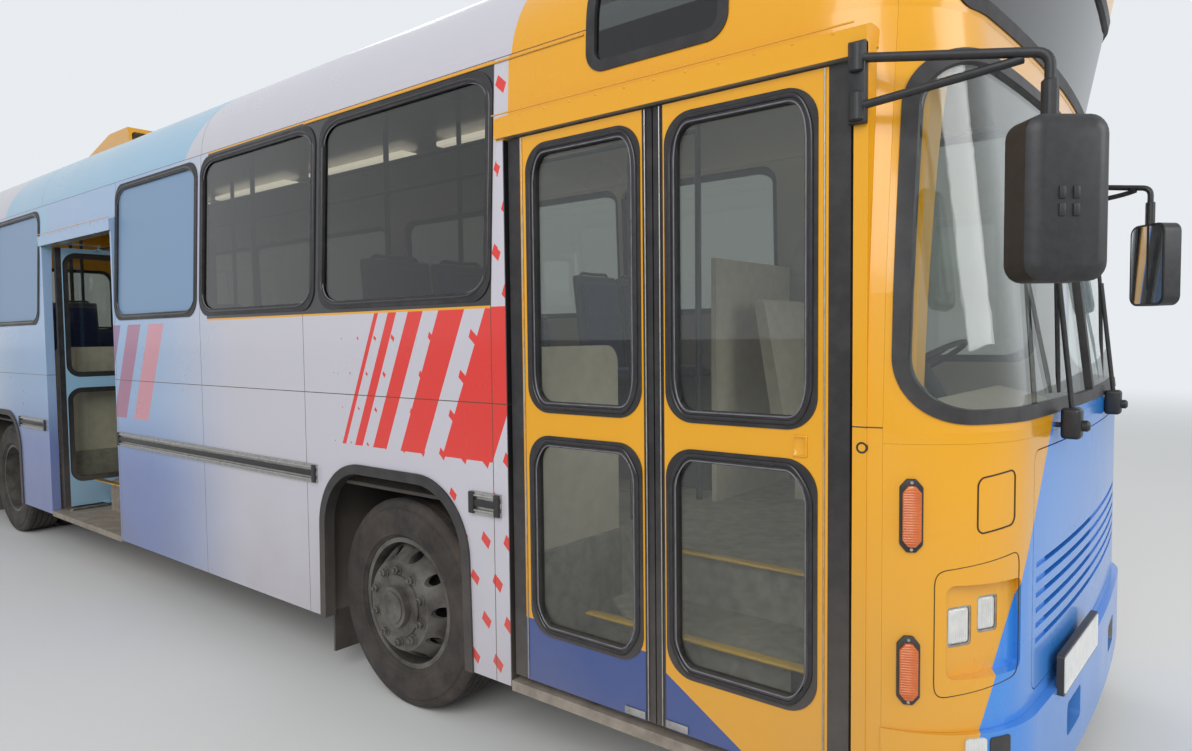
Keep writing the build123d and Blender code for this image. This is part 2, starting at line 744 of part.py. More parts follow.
def pocket_points(station, mirrored):
    """The plan of the corner that a turning leaf needs, from the step's nose inwards."""
    column_x = place(station) + COLUMN_INSET
    jamb_x = place(station) - WELL_MARGIN
    points = [
        (jamb_x, -COLUMN_Y - 10), (column_x + POCKET_NOSE, -COLUMN_Y - 10),
        (column_x + POCKET_NOSE, -STEP_EDGE_Y), (column_x + POCKET_SIDE, -COLUMN_Y + POCKET_TURN),
        (column_x + POCKET_SIDE, -POCKET_EDGE_Y), (jamb_x, -POCKET_EDGE_Y),
    ]
    if mirrored:
        middle = place(station) + DOOR_WIDTH / 2
        points = [(2 * middle - x, y) for x, y in points]
    return points


def pocket(station, mirrored, low, high, grow=0):
    """The turning leaf's corner as a prism from low to high, made larger by grow."""
    with BuildPart(mode=Mode.PRIVATE) as corner:
        with BuildSketch(Plane.XY.offset(low)):
            with BuildLine():
                Polyline(*pocket_points(station, mirrored), close=True)
            make_face()
            if grow:
                offset(amount=grow, kind=Kind.INTERSECTION)
        extrude(amount=high - low)
    return corner.part


def wheel_cavity(axle_x, side, half, y_inner, wall):
    """The space for a wheel, made larger by wall where it meets the saloon."""
    y0, y1 = sorted((side * (y_inner - wall), side * (INNER_Y - (0 if wall else -1))))
    z0 = HOUSING_LOW_Z - (0 if wall else 1)
    return zone(axle_x - half - wall, axle_x + half + wall, y0, y1, z0, HOUSING_TOP_Z + wall)


HOUSINGS = ((AXLE_F, FRONT_HOUSING_HALF, FRONT_HOUSING_Y), (AXLE_R, REAR_HOUSING_HALF, REAR_HOUSING_Y))

with BuildPart() as floor:
    add(inner)
    add(zone(REAR_X, POST_X + 25, -FAR, FAR, FLOOR_Z - FLOOR_THICK, FLOOR_Z), mode=Mode.INTERSECT)
    for axle_x, half, y_inner in HOUSINGS:
        for side in (-1, 1):
            add(wheel_cavity(axle_x, side, half, y_inner, PLATE), mode=Mode.SUBTRACT)
    for station in DOOR_STATIONS.values():
        x0, x1 = well_range(station)
        add(zone(x0 - PLATE, x1 + PLATE, -FAR, -FLOOR_EDGE_Y + PLATE, 0, FLOOR_Z + 1), mode=Mode.SUBTRACT)
        for mirrored in (False, True):
            add(pocket(station, mirrored, 0, FLOOR_Z + 1, PLATE), mode=Mode.SUBTRACT)
save(floor.part, "floor")

# Stepped wells behind the doorways: sill plate, one step, risers and pockets for the leaves
with BuildPart() as step_wells:
    for station in DOOR_STATIONS.values():
        x0, x1 = well_range(station)
        with BuildPart(mode=Mode.PRIVATE) as well:
            add(zone(x0 - PLATE, x1 + PLATE, -INNER_Y + 15, -FLOOR_EDGE_Y + PLATE, SILL_Z - PLATE, FLOOR_Z))
            for mirrored in (False, True):
                add(pocket(station, mirrored, SILL_Z - PLATE, FLOOR_Z, PLATE))
            add(zone(x0, x1, -FAR, -STEP_EDGE_Y, SILL_Z, FLOOR_Z + 1), mode=Mode.SUBTRACT)
            add(zone(x0, x1, -STEP_EDGE_Y - 1, -FLOOR_EDGE_Y, STEP_Z, FLOOR_Z + 1), mode=Mode.SUBTRACT)
            add(zone(x0, x1, -STEP_EDGE_Y + PLATE, -FLOOR_EDGE_Y, SILL_Z, STEP_Z - PLATE), mode=Mode.SUBTRACT)
            for mirrored in (False, True):
                add(pocket(station, mirrored, SILL_Z, FLOOR_Z + 1, 0), mode=Mode.SUBTRACT)
        add(well.part)
        x0 = place(station)
        add(zone(x0, x0 + DOOR_WIDTH, -HALF_WIDTH, -INNER_Y + 15, SILL_Z - SILL_DEEP, SILL_Z))
save(step_wells.part, "step_wells")

# Housings over the wheels
with BuildPart() as wheel_housings:
    for axle_x, half, y_inner in HOUSINGS:
        for side in (-1, 1):
            with BuildPart(mode=Mode.PRIVATE) as housing:
                add(wheel_cavity(axle_x, side, half, y_inner, PLATE))
                add(wheel_cavity(axle_x, side, half, y_inner, 0), mode=Mode.SUBTRACT)
                add(
                    zone(axle_x - AXLE_NOTCH, axle_x + AXLE_NOTCH, -INNER_Y, INNER_Y, 0, WHEEL_Z + AXLE_NOTCH),
                    mode=Mode.SUBTRACT,
                )
            add(housing.part)
save(wheel_housings.part, "wheel_housings")

# Rubber lips round the arches, with a flap behind each wheel
with BuildPart() as arch_lips:
    for axle_x in (AXLE_F, AXLE_R):
        for side in (-1, 1):
            y0, y1 = sorted((side * INNER_Y, side * (HALF_WIDTH + LIP_PROUD)))
            with BuildPart(mode=Mode.PRIVATE) as lip:
                add(arch_prism(axle_x, 0, y0, y1))
                add(arch_prism(axle_x, LIP, y0 - 1, y1 + 1), mode=Mode.SUBTRACT)
                add(zone(axle_x - 700, axle_x + 700, y0, y1, SKIRT_Z, ARCH_TOP_Z), mode=Mode.INTERSECT)
            add(lip.part)
    for (axle_x, half, y_inner) in HOUSINGS:
        for side in (-1, 1):
            with Locations((axle_x - half - PLATE / 2, side * FLAP_Y, (FLAP_LOW_Z + HOUSING_LOW_Z) / 2)):
                Box(FLAP_THICK, FLAP_WIDTH, HOUSING_LOW_Z - FLAP_LOW_Z)
save(arch_lips.part, "arch_lips")

# Rub rails: an extrusion with three ribs, in lengths between the arches and the doorways
def rail_length(side, x0, x1):
    """One length of rub rail on the wall."""
    face = side * HALF_WIDTH
    out = side * RAIL_PROUD
    rib = (RAIL_HIGH - RAIL_LOW) / 5
    with BuildPart(mode=Mode.PRIVATE) as rail:
        with BuildSketch(Plane.YZ.offset(x0)):
            with Locations((face + out / 4, (RAIL_LOW + RAIL_HIGH) / 2)):
                Rectangle(RAIL_PROUD / 2, RAIL_HIGH - RAIL_LOW)
            for row in (0, 2, 4):
                with Locations((face + out * 3 / 4, RAIL_LOW + (row + 0.5) * rib)):
                    Rectangle(RAIL_PROUD / 2, rib)
        extrude(amount=x1 - x0)
    return rail.part


def rail_spans(side):
    """Where the rub rail runs on one side, between its interruptions."""
    arch = ARCH_HALF + 12
    stops = [(AXLE_R - arch, AXLE_R + arch), (AXLE_F - arch, AXLE_F + arch)]
    if side < 0:
        for station in DOOR_STATIONS.values():
            stops.append((place(station) - PORTAL_POST, place(station) + DOOR_WIDTH + PORTAL_POST))
    start = REAR_SEAM_X
    for low, high in sorted(stops):
        if low > start:
            yield start, low
        start = high
    if side > 0:
        yield start, POST_X - 60


with BuildPart() as rub_rails:
    for side in (-1, 1):
        for x0, x1 in rail_spans(side):
            add(rail_length(side, x0, x1))
save(rub_rails.part, "rub_rails")

# Underframe: two long box beams, cross members out to the walls, and axle brackets
with BuildPart() as underframe:
    for side in (-1, 1):
        with Locations(((BEAM_X[0] + BEAM_X[1]) / 2, side * BEAM_Y, (BEAM_LOW_Z + BEAM_HIGH_Z) / 2)):
            Box(BEAM_X[1] - BEAM_X[0], BEAM_WIDTH, BEAM_HIGH_Z - BEAM_LOW_Z)
    for x in CROSS_X:
        with Locations((x, 0, BEAM_HIGH_Z - CROSS_HIGH / 2)):
            Box(BEAM_WIDTH, 2 * INNER_Y, CROSS_HIGH)
    for x in INNER_CROSS_X:
        with Locations((x, 0, BEAM_HIGH_Z - CROSS_HIGH / 2)):
            Box(BEAM_WIDTH, 2 * BEAM_Y, CROSS_HIGH)
    for end, beam_end, mouth in ((1, BEAM_X[1], FRONT_X - TOW_RECESS), (-1, BEAM_X[0], REAR_X + TOW_RECESS)):
        for side in (-1, 1):
            x0, x1 = sorted((beam_end, beam_end - end * 150))
            y_mid = side * BEAM_Y
            add(zone(x0, x1, y_mid - BEAM_WIDTH / 2, y_mid + BEAM_WIDTH / 2, TOW_Z - 50, BEAM_LOW_Z))
            with BuildSketch(Plane(origin=(mouth, side * BEAM_Y, TOW_Z), z_dir=(end, 0, 0))):
                Circle(TOW_TUBE)
            extrude(amount=CLEAR - abs(mouth - beam_end))
            with BuildSketch(Plane(origin=(mouth, side * BEAM_Y, TOW_Z), z_dir=(end, 0, 0))):
                Circle(TOW_RADIUS)
            extrude(amount=-TOW_LENGTH, mode=Mode.SUBTRACT)
save(underframe.part, "underframe")

# Engine: one block between the beams, behind the rear axle
engine_width = 2 * BEAM_Y - BEAM_WIDTH
with BuildPart() as engine:
    with Locations(((ENGINE_X[0] + ENGINE_X[1]) / 2, 0, (ENGINE_Z[0] + ENGINE_Z[1]) / 2)):
        Box(ENGINE_X[1] - ENGINE_X[0], engine_width, ENGINE_Z[1] - ENGINE_Z[0])
    chamfer(engine.edges().filter_by(Axis.X), 40)
save(engine.part, "engine")


# Wheels: an outward-facing wheel is made once about the Y axis and then placed
def tyre_form():
    """A tyre about the Y axis with its middle at the origin."""
    half = TYRE_WIDTH / 2
    with BuildPart(mode=Mode.PRIVATE) as tyre:
        with BuildSketch(Plane.YZ):
            with BuildLine():
                Polyline(
                    (-RIM_HALF, BEAD_RADIUS), (RIM_HALF, BEAD_RADIUS), (RIM_HALF, RIM_RADIUS),
                    (half, BULGE_RADIUS), (half - 9, SHOULDER_RADIUS), (half - 34, TYRE_RADIUS),
                    (34 - half, TYRE_RADIUS), (9 - half, SHOULDER_RADIUS), (-half, BULGE_RADIUS),
                    (-RIM_HALF, RIM_RADIUS), close=True,
                )
            make_face()
        revolve(axis=Axis.Y)
    return tyre.part


def rim_form():
    """A steel rim whose bolting face stands DISC_OFFSET out from its middle."""
    barrel = BEAD_RADIUS - RIM_STEEL
    with BuildPart(mode=Mode.PRIVATE) as rim:
        with BuildSketch(Plane.YZ):
            with BuildLine():
                Polyline(
                    (-RIM_HALF - FLANGE, RIM_RADIUS), (-RIM_HALF, RIM_RADIUS), (-RIM_HALF, BEAD_RADIUS),
                    (RIM_HALF, BEAD_RADIUS), (RIM_HALF, RIM_RADIUS), (RIM_HALF + FLANGE, RIM_RADIUS),
                    (RIM_HALF + FLANGE, barrel), (DISC_JOIN, barrel), (DISC_OFFSET, DISC_KNEE),
                    (DISC_OFFSET, HUB_RADIUS), (DISC_OFFSET - DISC_STEEL, HUB_RADIUS),
                    (DISC_OFFSET - DISC_STEEL, DISC_KNEE - 8), (DISC_JOIN - DISC_STEEL, barrel), (-RIM_HALF - FLANGE, barrel), close=True,
                )
            make_face()
        revolve(axis=Axis.Y)
        with BuildSketch(Plane.XZ):
            with PolarLocations(HAND_HOLE_PCD / 2, WHEEL_STUDS):
                Circle(HAND_HOLE_RADIUS)
        extrude(amount=-DISC_OFFSET - 20, mode=Mode.SUBTRACT)
    return rim.part


def hub_form(sections, bore, bore_end):
    """A hub about the Y axis from (y, radius) steps, with a bore up to bore_end."""
    with BuildPart(mode=Mode.PRIVATE) as hub:
        for (y0, radius), (y1, _) in zip(sections, sections[1:]):
            with BuildSketch(Plane.XZ.offset(-y0)):
                Circle(radius)
            extrude(amount=y0 - y1)
        with BuildSketch(Plane.XZ.offset(-sections[0][0])):
            Circle(bore)
        extrude(amount=sections[0][0] - bore_end, mode=Mode.SUBTRACT)
    return hub.part


FRONT_HUB = (
    (-BRAKE_INNER, BRAKE_RADIUS), (-20, HUB_RADIUS), (DISC_OFFSET + 8, HUB_CAP_RADIUS), (FRONT_CAP_END, 0),
)
REAR_HUB = (
    (REAR_HUB_START, BRAKE_RADIUS), (TWIN_INNER_Y + 20, HUB_RADIUS), (TWIN_FACE_Y + 30, HUB_CAP_RADIUS),
    (REAR_CAP_END, 0),
)

tyre_form_left = tyre_form()
rim_form_left = rim_form()
with BuildPart() as front_rim_hub:
    add(rim_form_left)
    add(hub_form(FRONT_HUB, SPINDLE_RADIUS + CLEAR, DISC_OFFSET - 20))
with BuildPart() as rear_tyres:
    add(tyre_form_left.moved(Location((0, REAR_TYRE_Y, 0))))
    add(tyre_form_left.moved(Location((0, TWIN_INNER_Y, 0))))
with BuildPart() as rear_rims:
    add(mirror(rim_form_left, about=Plane.XZ, mode=Mode.PRIVATE).moved(Location((0, REAR_TYRE_Y, 0))))
    add(rim_form_left.moved(Location((0, TWIN_INNER_Y, 0))))
    add(hub_form(REAR_HUB, REAR_SPINDLE_RADIUS + CLEAR, TWIN_FACE_Y))

for name, side in (("right", -1), ("left", 1)):
    front = Location((AXLE_F, side * FRONT_TYRE_Y, WHEEL_Z))
    rear = Location((AXLE_R, 0, WHEEL_Z))
    for part, where, node in (
        (tyre_form_left, front, f"front_tyre_{name}"),
        (front_rim_hub.part, front, f"front_rim_{name}"),
        (rear_tyres.part, rear, f"rear_tyres_{name}"),
        (rear_rims.part, rear, f"rear_rims_{name}"),
    ):
        turned = part if side > 0 else mirror(part, about=Plane.XZ)
        save(turned.moved(where), node)

# Front axle: a dropped beam with a boss for the kingpin at each end
with BuildPart() as front_axle:
    low, high = WHEEL_Z - 35, WHEEL_Z + 35
    with BuildSketch(Plane.YZ.offset(AXLE_F - AXLE_BEAM / 2)) as beam_outline:
        with BuildLine():
            Polyline(
                (-KINGPIN_Y, low), (-DROP_Y - 120, low), (-DROP_Y, DROP_Z - AXLE_BEAM),
                (DROP_Y, DROP_Z - AXLE_BEAM), (DROP_Y + 120, low), (KINGPIN_Y, low), (KINGPIN_Y, high),
                (DROP_Y + 90, high), (DROP_Y - 20, DROP_Z), (20 - DROP_Y, DROP_Z), (-DROP_Y - 90, high),
                (-KINGPIN_Y, high), close=True,
            )
        make_face()
    extrude(amount=AXLE_BEAM)
    for side in (-1, 1):
        with Locations((AXLE_F, side * KINGPIN_Y, WHEEL_Z)):
            Cylinder(BOSS_RADIUS, 2 * BOSS_HALF)
    for side in (-1, 1):
        with Locations((AXLE_F, side * KINGPIN_Y, WHEEL_Z)):
            Cylinder(KINGPIN_RADIUS + CLEAR, 4 * BOSS_HALF, mode=Mode.SUBTRACT)
save(front_axle.part, "front_axle")

# Steering knuckles: a fork round the axle's boss, its kingpin and the wheel's spindle
for name, side in (("right", -1), ("left", 1)):
    plate_y = KINGPIN_Y + BOSS_RADIUS + 5
    lug_z = BOSS_HALF + CLEAR + LUG / 2
    with BuildPart() as knuckle:
        for end in (-1, 1):
            with Locations((AXLE_F, side * KINGPIN_Y, WHEEL_Z + end * lug_z)):
                Cylinder(BOSS_RADIUS, LUG)
            with Locations((AXLE_F, side * (KINGPIN_Y + plate_y) / 2, WHEEL_Z + end * lug_z)):
                Box(2 * BOSS_RADIUS, plate_y - KINGPIN_Y, LUG)
        with Locations((AXLE_F, side * KINGPIN_Y, WHEEL_Z)):
            Cylinder(KINGPIN_RADIUS, 2 * BOSS_HALF + 2)
        with Locations((AXLE_F, side * (plate_y + KNUCKLE_PLATE / 2), WHEEL_Z)):
            Box(2 * BOSS_RADIUS, KNUCKLE_PLATE, 2 * (BOSS_HALF + CLEAR + LUG))
        with BuildSketch(Plane.XZ.offset(-side * plate_y)):
            with Locations((AXLE_F, WHEEL_Z)):
                Circle(SPINDLE_RADIUS)
        extrude(amount=-side * (FRONT_TYRE_Y + DISC_OFFSET - 40 - plate_y))
    save(knuckle.part, f"knuckle_{name}")

# Rear axle: tube, drive housing and the arms that its air springs stand on
with BuildPart() as rear_axle:
    with BuildSketch(Plane.XZ.offset(-REAR_HUB_START + 10)):
        with Locations((AXLE_R, WHEEL_Z)):
            Circle(REAR_TUBE)
    extrude(amount=2 * (REAR_HUB_START - 10))
    with BuildSketch(Plane.XZ.offset(-TWIN_FACE_Y + 20)):
        with Locations((AXLE_R, WHEEL_Z)):
            Circle(REAR_SPINDLE_RADIUS)
    extrude(amount=2 * (TWIN_FACE_Y - 20))
    with Locations((AXLE_R, 0, WHEEL_Z)):
        Sphere(DRIVE_RADIUS)
    with Locations((AXLE_R + DRIVE_RADIUS, 0, WHEEL_Z)):
        Cylinder(DRIVE_RADIUS * 0.55, 120, rotation=(0, 90, 0))
    for side in (-1, 1):
        with Locations((AXLE_R, side * BEAM_Y, (SPRING_SEAT_Z + WHEEL_Z - 100) / 2)):
            Box(2 * REAR_SPRING_X + 200, 90, SPRING_SEAT_Z - WHEEL_Z + 100)
save(rear_axle.part, "rear_axle")

# Air springs between the axles and the beams
SPRING_SEATS = ((AXLE_F, DROP_Z),) + tuple((AXLE_R + end * REAR_SPRING_X, SPRING_SEAT_Z) for end in (-1, 1))
with BuildPart() as air_springs:
    for side in (-1, 1):
        for x, seat_z in SPRING_SEATS:
            with BuildSketch(Plane.XZ.offset(-side * BEAM_Y)) as bellows:
                with BuildLine():
                    Polyline(
                        (x, BEAM_LOW_Z), (x, seat_z), (x + SPRING_RADIUS - 25, seat_z),
                        (x + SPRING_RADIUS, seat_z + 25), (x + SPRING_RADIUS, BEAM_LOW_Z - 25),
                        (x + SPRING_RADIUS - 25, BEAM_LOW_Z), close=True,
                    )
                make_face()
            revolve(axis=Axis((x, side * BEAM_Y, 0), (0, 0, 1)))
save(air_springs.part, "air_springs")

# Door leaves and arms. A leaf's own frame has its turning line along X at y 0, the
# doorway's middle towards +X and the outside of the vehicle towards -Y.
LEAF_WIDTH = DOOR_WIDTH / 2 - LEAF_GAP_MIDDLE / 2 - LEAF_GAP_JAMB
LEAF_START = LEAF_GAP_JAMB - COLUMN_INSET
LEAF_END = LEAF_START + LEAF_WIDTH
ARM = (LEAF_END - GUIDE_INSET) / 2
FACE_OUT = COLUMN_Y - LEAF_FACE_Y
FACE_IN = FACE_OUT + LEAF_THICK
METAL = (LEAF_START + SEAL_JAMB, LEAF_END - SEAL_MIDDLE)
LEAF_GLASS = (METAL[0] + LEAF_RUBBER + LEAF_FRAME, METAL[1] - LEAF_RUBBER - LEAF_EDGE)


def leaf_prism(grow, y0, y1, row):
    """A door window's outline, made larger by grow, from y0 to y1."""
    z0, z1 = LEAF_WINDOWS[row]
    return side_opening(
        LEAF_GLASS[0] - grow, LEAF_GLASS[1] + grow, z0 - grow, z1 + grow, LEAF_GLASS_CORNER + grow, y0, y1,
    )


with BuildPart() as leaf_panel:
    add(zone(METAL[0], METAL[1], FACE_OUT, FACE_IN, LEAF_LOW_Z, LEAF_HIGH_Z))
    for row in (0, 1):
        add(leaf_prism(LEAF_RUBBER, FACE_OUT - 20, FACE_IN + 20, row), mode=Mode.SUBTRACT)
    for z0, pin_low, pin_high in (
        (LEAF_LOW_Z, SILL_Z + ARM_LIFT, LEAF_LOW_Z + 6),
        (LEAF_HIGH_Z - LEAF_LUG, LEAF_HIGH_Z - 6, UPPER_ARM_Z + ARM_THICK),
    ):
        add(zone(ARM - 20, ARM + 20, FACE_IN, 20, z0, z0 + LEAF_LUG))
        with Locations((ARM, 0, (pin_low + pin_high) / 2)):
            Cylinder(PIN_RADIUS, pin_high - pin_low)

with BuildPart() as leaf_glass:
    for row in (0, 1):
        add(leaf_prism(0, FACE_OUT + 12, FACE_OUT + 18, row))

with BuildPart() as leaf_rubber:
    for row in (0, 1):
        with BuildPart(mode=Mode.PRIVATE) as window_ring:
            add(leaf_prism(LEAF_RUBBER, FACE_OUT - RUBBER_PROUD + 1, FACE_IN - 10, row))
            add(leaf_prism(0, FACE_OUT - 20, FACE_IN + 20, row), mode=Mode.SUBTRACT)
        add(window_ring.part)
    for x0, x1 in ((LEAF_START, METAL[0]), (METAL[1], LEAF_END)):
        add(zone(x0, x1, FACE_OUT + 2, FACE_IN - 2, LEAF_LOW_Z, LEAF_HIGH_Z))

with BuildPart() as door_arm:
    for z0, boss_low, boss_high in (
        (SILL_Z + ARM_LIFT, SILL_Z + CLEAR, SILL_Z + ARM_LIFT + ARM_THICK),
        (UPPER_ARM_Z, UPPER_ARM_Z, GEAR_Z - CLEAR),
    ):
        with BuildSketch(Plane.XY.offset(z0)):
            with Locations((ARM / 2, 0)):
                SlotCenterToCenter(ARM, ARM_WIDTH)
            with Locations((ARM, 0)):
                Circle(PIN_RADIUS + CLEAR, mode=Mode.SUBTRACT)
        extrude(amount=ARM_THICK)
        with BuildSketch(Plane.XY.offset(boss_low)):
            Circle(COLUMN_RADIUS)
        extrude(amount=boss_high - boss_low)

for door, station in DOOR_STATIONS.items():
    angle = DOOR_ANGLES[door]
    column_x = place(station) + COLUMN_INSET
    middle = place(station) + DOOR_WIDTH / 2
    leaf_at = Location((column_x, -COLUMN_Y + 2 * ARM * sin(radians(angle)), 0), (0, 0, -angle))
    arm_at = Location((column_x, -COLUMN_Y, 0), (0, 0, angle))
    for piece, where, node in (
        (leaf_panel, leaf_at, "leaf"), (leaf_glass, leaf_at, "glass"), (leaf_rubber, leaf_at, "rubber"),
        (door_arm, arm_at, "arms"),
    ):
        rear_piece = piece.part.moved(where)
        save(rear_piece, f"{door}_door_{node}_rear")
        save(mirror(rear_piece, about=Plane.YZ.offset(middle)), f"{door}_door_{node}_front")


# Seats: a cushion and back in one moulded shape, on a pedestal
def seat(x, y, z, wide):
    """A seat facing forwards with its back's foot at x, standing at z."""
    with BuildPart(mode=Mode.PRIVATE) as bench:
        with BuildSketch(Plane.XZ.offset(-y - wide / 2)) as outline:
            with BuildLine():
                Polyline(
                    (x, z + SEAT_Z - 90), (x + SEAT_DEEP, z + SEAT_Z - 70), (x + SEAT_DEEP, z + SEAT_Z + 10),
                    (x + 60, z + SEAT_Z - 10), (x - 60, z + SEAT_BACK_Z), (x - 120, z + SEAT_BACK_Z),
                    close=True,
                )
            make_face()
            fillet(outline.vertices().sort_by(Axis.Y)[-2:], 28)
        extrude(amount=wide)
        add(zone(x + 60, x + 340, y - wide / 4, y + wide / 4, z, z + SEAT_Z - 60))
    return bench.part


with BuildPart() as seats:
    for side, rows in ((-1, RIGHT_SEATS), (1, LEFT_SEATS)):
        for x, z in rows:
            add(seat(x, side * SEAT_Y, z, SEAT_WIDE))
    add(seat(REAR_BENCH_X, 0, FLOOR_Z, 2 * INNER_Y - 60))
save(seats.part, "seats")

# Handrails: ceiling rails carried by poles that stand on the floor
with BuildPart() as handrails:
    for side, pole_stations in ((-1, RIGHT_POLES), (1, LEFT_POLES)):
        for x in pole_stations:
            with BuildSketch(Plane.XY.offset(FLOOR_Z)):
                with Locations((x, side * RAIL_Y)):
                    Circle(TUBE_RADIUS)
            extrude(amount=ROOF_Z - FLOOR_Z)
        with BuildSketch(Plane.YZ.offset(pole_stations[0])):
            with Locations((side * RAIL_Y, CEILING_RAIL_Z)):
                Circle(CEILING_RAIL_RADIUS)
        extrude(amount=pole_stations[-1] - pole_stations[0])
    add(inner, mode=Mode.INTERSECT)
save(handrails.part, "handrails")

# Partitions beside the stepped wells
with BuildPart() as partitions:
    for x in PARTITION_X:
        with BuildSketch(Plane.YZ.offset(x)) as screen:
            with Locations((-(PARTITION_Y[0] + PARTITION_Y[1]) / 2, FLOOR_Z + PARTITION_HIGH / 2)):
                Rectangle(PARTITION_Y[1] - PARTITION_Y[0], PARTITION_HIGH)
            fillet(screen.vertices().sort_by(Axis.Y)[-2:], 80)
        extrude(amount=PARTITION_THICK)
save(partitions.part, "partitions")

# Driver's place: dashboard, seat and the screen behind it
with BuildPart() as driver_place:
    with BuildSketch(Plane.XZ.offset(-DASH_Y[1])) as dash:
        with BuildLine():
            x0, x1 = DASH_X
            Polyline(
                (x0 + 120, FLOOR_Z), (x1, FLOOR_Z), (x1, DASH_Z - 60), (x0 + 180, DASH_Z), (x0, DASH_Z - 120),
                (x0, DASH_Z - 260), close=True,
            )
        make_face()
        fillet(dash.vertices().sort_by(Axis.Y)[-3:], 40)
    extrude(amount=DASH_Y[1] - DASH_Y[0])
    add(seat(DRIVER_X - 250, DRIVER_Y, FLOOR_Z, DRIVER_SEAT_WIDE))
    screen_x = DRIVER_X - 520
    add(zone(screen_x, screen_x + DRIVER_SCREEN[0], 300, INNER_Y - 30, FLOOR_Z, FLOOR_Z + DRIVER_SCREEN[1]))
save(driver_place.part, "driver_place")

with BuildPart() as steering_wheel:
    tilt = radians(HANDWHEEL_TILT)
    wheel_plane = Plane(
        origin=(WHEEL_CENTRE_X, DRIVER_Y, WHEEL_CENTRE_Z), x_dir=(0, 1, 0), z_dir=(-sin(tilt), 0, cos(tilt)),
    )
    grip_at = wheel_plane.from_local_coords((HANDWHEEL_RADIUS, 0, 0))
    with BuildSketch(Plane(origin=grip_at, x_dir=wheel_plane.x_dir, z_dir=wheel_plane.y_dir)):
        RegularPolygon(GRIP_RADIUS, 8)
    revolve(axis=Axis(wheel_plane.origin, wheel_plane.z_dir))
    with BuildSketch(wheel_plane.offset(-8)):
        Circle(60)
        with PolarLocations(HANDWHEEL_RADIUS / 2, 3):
            Rectangle(HANDWHEEL_RADIUS, 26)
    extrude(amount=14)
    with BuildSketch(wheel_plane.offset(-8)):
        Circle(35)
    extrude(amount=-COLUMN_LONG)
    add(driver_place.part, mode=Mode.SUBTRACT)
save(steering_wheel.part.solids().sort_by(Axis.Z)[-1], "steering_wheel")


# Mirrors: a bracket on the corner post, two tubes to an elbow, and the housing below it
def tube(points, radius, bend):
    """A bent round tube through the points."""
    with BuildPart(mode=Mode.PRIVATE) as bent:
        with BuildLine() as route:
            FilletPolyline(*points, radius=bend)
        with BuildSketch(Plane(origin=route.line @ 0, z_dir=route.line % 0)):
            Circle(radius)
        sweep()
    return bent.part


with BuildPart() as mirrors:
    for side in (-1, 1):
        root_y = side * (HALF_WIDTH + BRACKET_PROUD)
        y0, y1 = sorted((side * (HALF_WIDTH - 60), root_y))
        x0, x1 = BRACKET_X - BRACKET_HALF, BRACKET_X + BRACKET_HALF
        add(zone(x0, x1, y0, y1, BRACKET_Z[0] - 40, BRACKET_Z[1] + 30))
        start_y = root_y - side * 6
        centre = (MIRROR_X, side * MIRROR_Y, MIRROR_Z)
        elbow = (MIRROR_X - 10, side * MIRROR_Y, ELBOW_Z)
        upper = ((BRACKET_X, start_y, BRACKET_Z[1]), elbow, centre)
        lower = (
            (BRACKET_X, start_y, BRACKET_Z[0]), (MIRROR_X - 200, side * (MIRROR_Y + 14), ELBOW_Z - 30),
            (elbow[0] - 60, elbow[1], ELBOW_Z - 4),
        )
        add(tube(upper, MIRROR_TUBE, 50))
        add(tube(lower, MIRROR_TUBE, 60))
        turned = Plane(origin=centre, x_dir=(side * 0.34, -0.94, 0), z_dir=(0.94, side * 0.34, 0))
        with BuildSketch(turned.offset(-MIRROR_DEEP / 2)):
            RectangleRounded(MIRROR_WIDE, MIRROR_HIGH, 45)
        extrude(amount=MIRROR_DEEP, taper=12)
    add(skin, mode=Mode.SUBTRACT)
    add(walls.values(), mode=Mode.SUBTRACT)
save(mirrors.part, "mirrors")

# Wipers: an arm and a blade in front of each windscreen pane
with BuildPart() as wipers:
    for y, y_top in WIPERS:
        foot = (WIPER_FOOT_X, y, WIPER_FOOT_Z)
        head = (WIPER_HEAD_X, y_top, WIPER_HEAD_Z)
        add(tube(((WIPER_FOOT_X - 120, y, WIPER_FOOT_Z), foot, head), 8, 20))
        add(
            tube(
                (
                    (head[0] + 8, head[1] - 6, head[2] - 380),
                    (head[0] - 4, head[1], head[2]),
                    (head[0] - 36, head[1] + 12, head[2] + 280),
                ),
                7,
                800,
            )
        )
    add(skin, mode=Mode.SUBTRACT)
save(wipers.part, "wipers")

# Roof vents: the scoop over the rear doorway and two flat hatches, all seated on the roof
with BuildPart() as roof_vents:
    with BuildPart(mode=Mode.PRIVATE) as scoop:
        with BuildSketch(Plane.XZ.offset(-SCOOP_Y[1])) as side_view:
            with BuildLine():
                x0, x1 = SCOOP_X
                Polyline(
                    (x0, ROOF_Z - 120), (x1, ROOF_Z - 120), (x1 - 60, ROOF_Z + SCOOP_HIGH),
                    (x1 - 420, ROOF_Z + SCOOP_HIGH), (x0, ROOF_Z + 20), close=True,
                )
            make_face()
        extrude(amount=SCOOP_Y[1] - SCOOP_Y[0])
        with BuildSketch(Plane.YZ.offset(SCOOP_X[1] + 10)):
            with Locations(((SCOOP_Y[0] + SCOOP_Y[1]) / 2, ROOF_Z + SCOOP_HIGH / 2 - 30)):
                RectangleRounded(SCOOP_Y[1] - SCOOP_Y[0] - 50, SCOOP_HIGH - 5, 30)
        extrude(amount=-480, mode=Mode.SUBTRACT)
    add(scoop.part)
    for x in HATCH_X:
        add(zone(x - HATCH_HALF, x + HATCH_HALF, -HATCH_HALF, HATCH_HALF, ROOF_Z - 60, ROOF_Z + HATCH_PROUD))
    add(skin, mode=Mode.SUBTRACT)
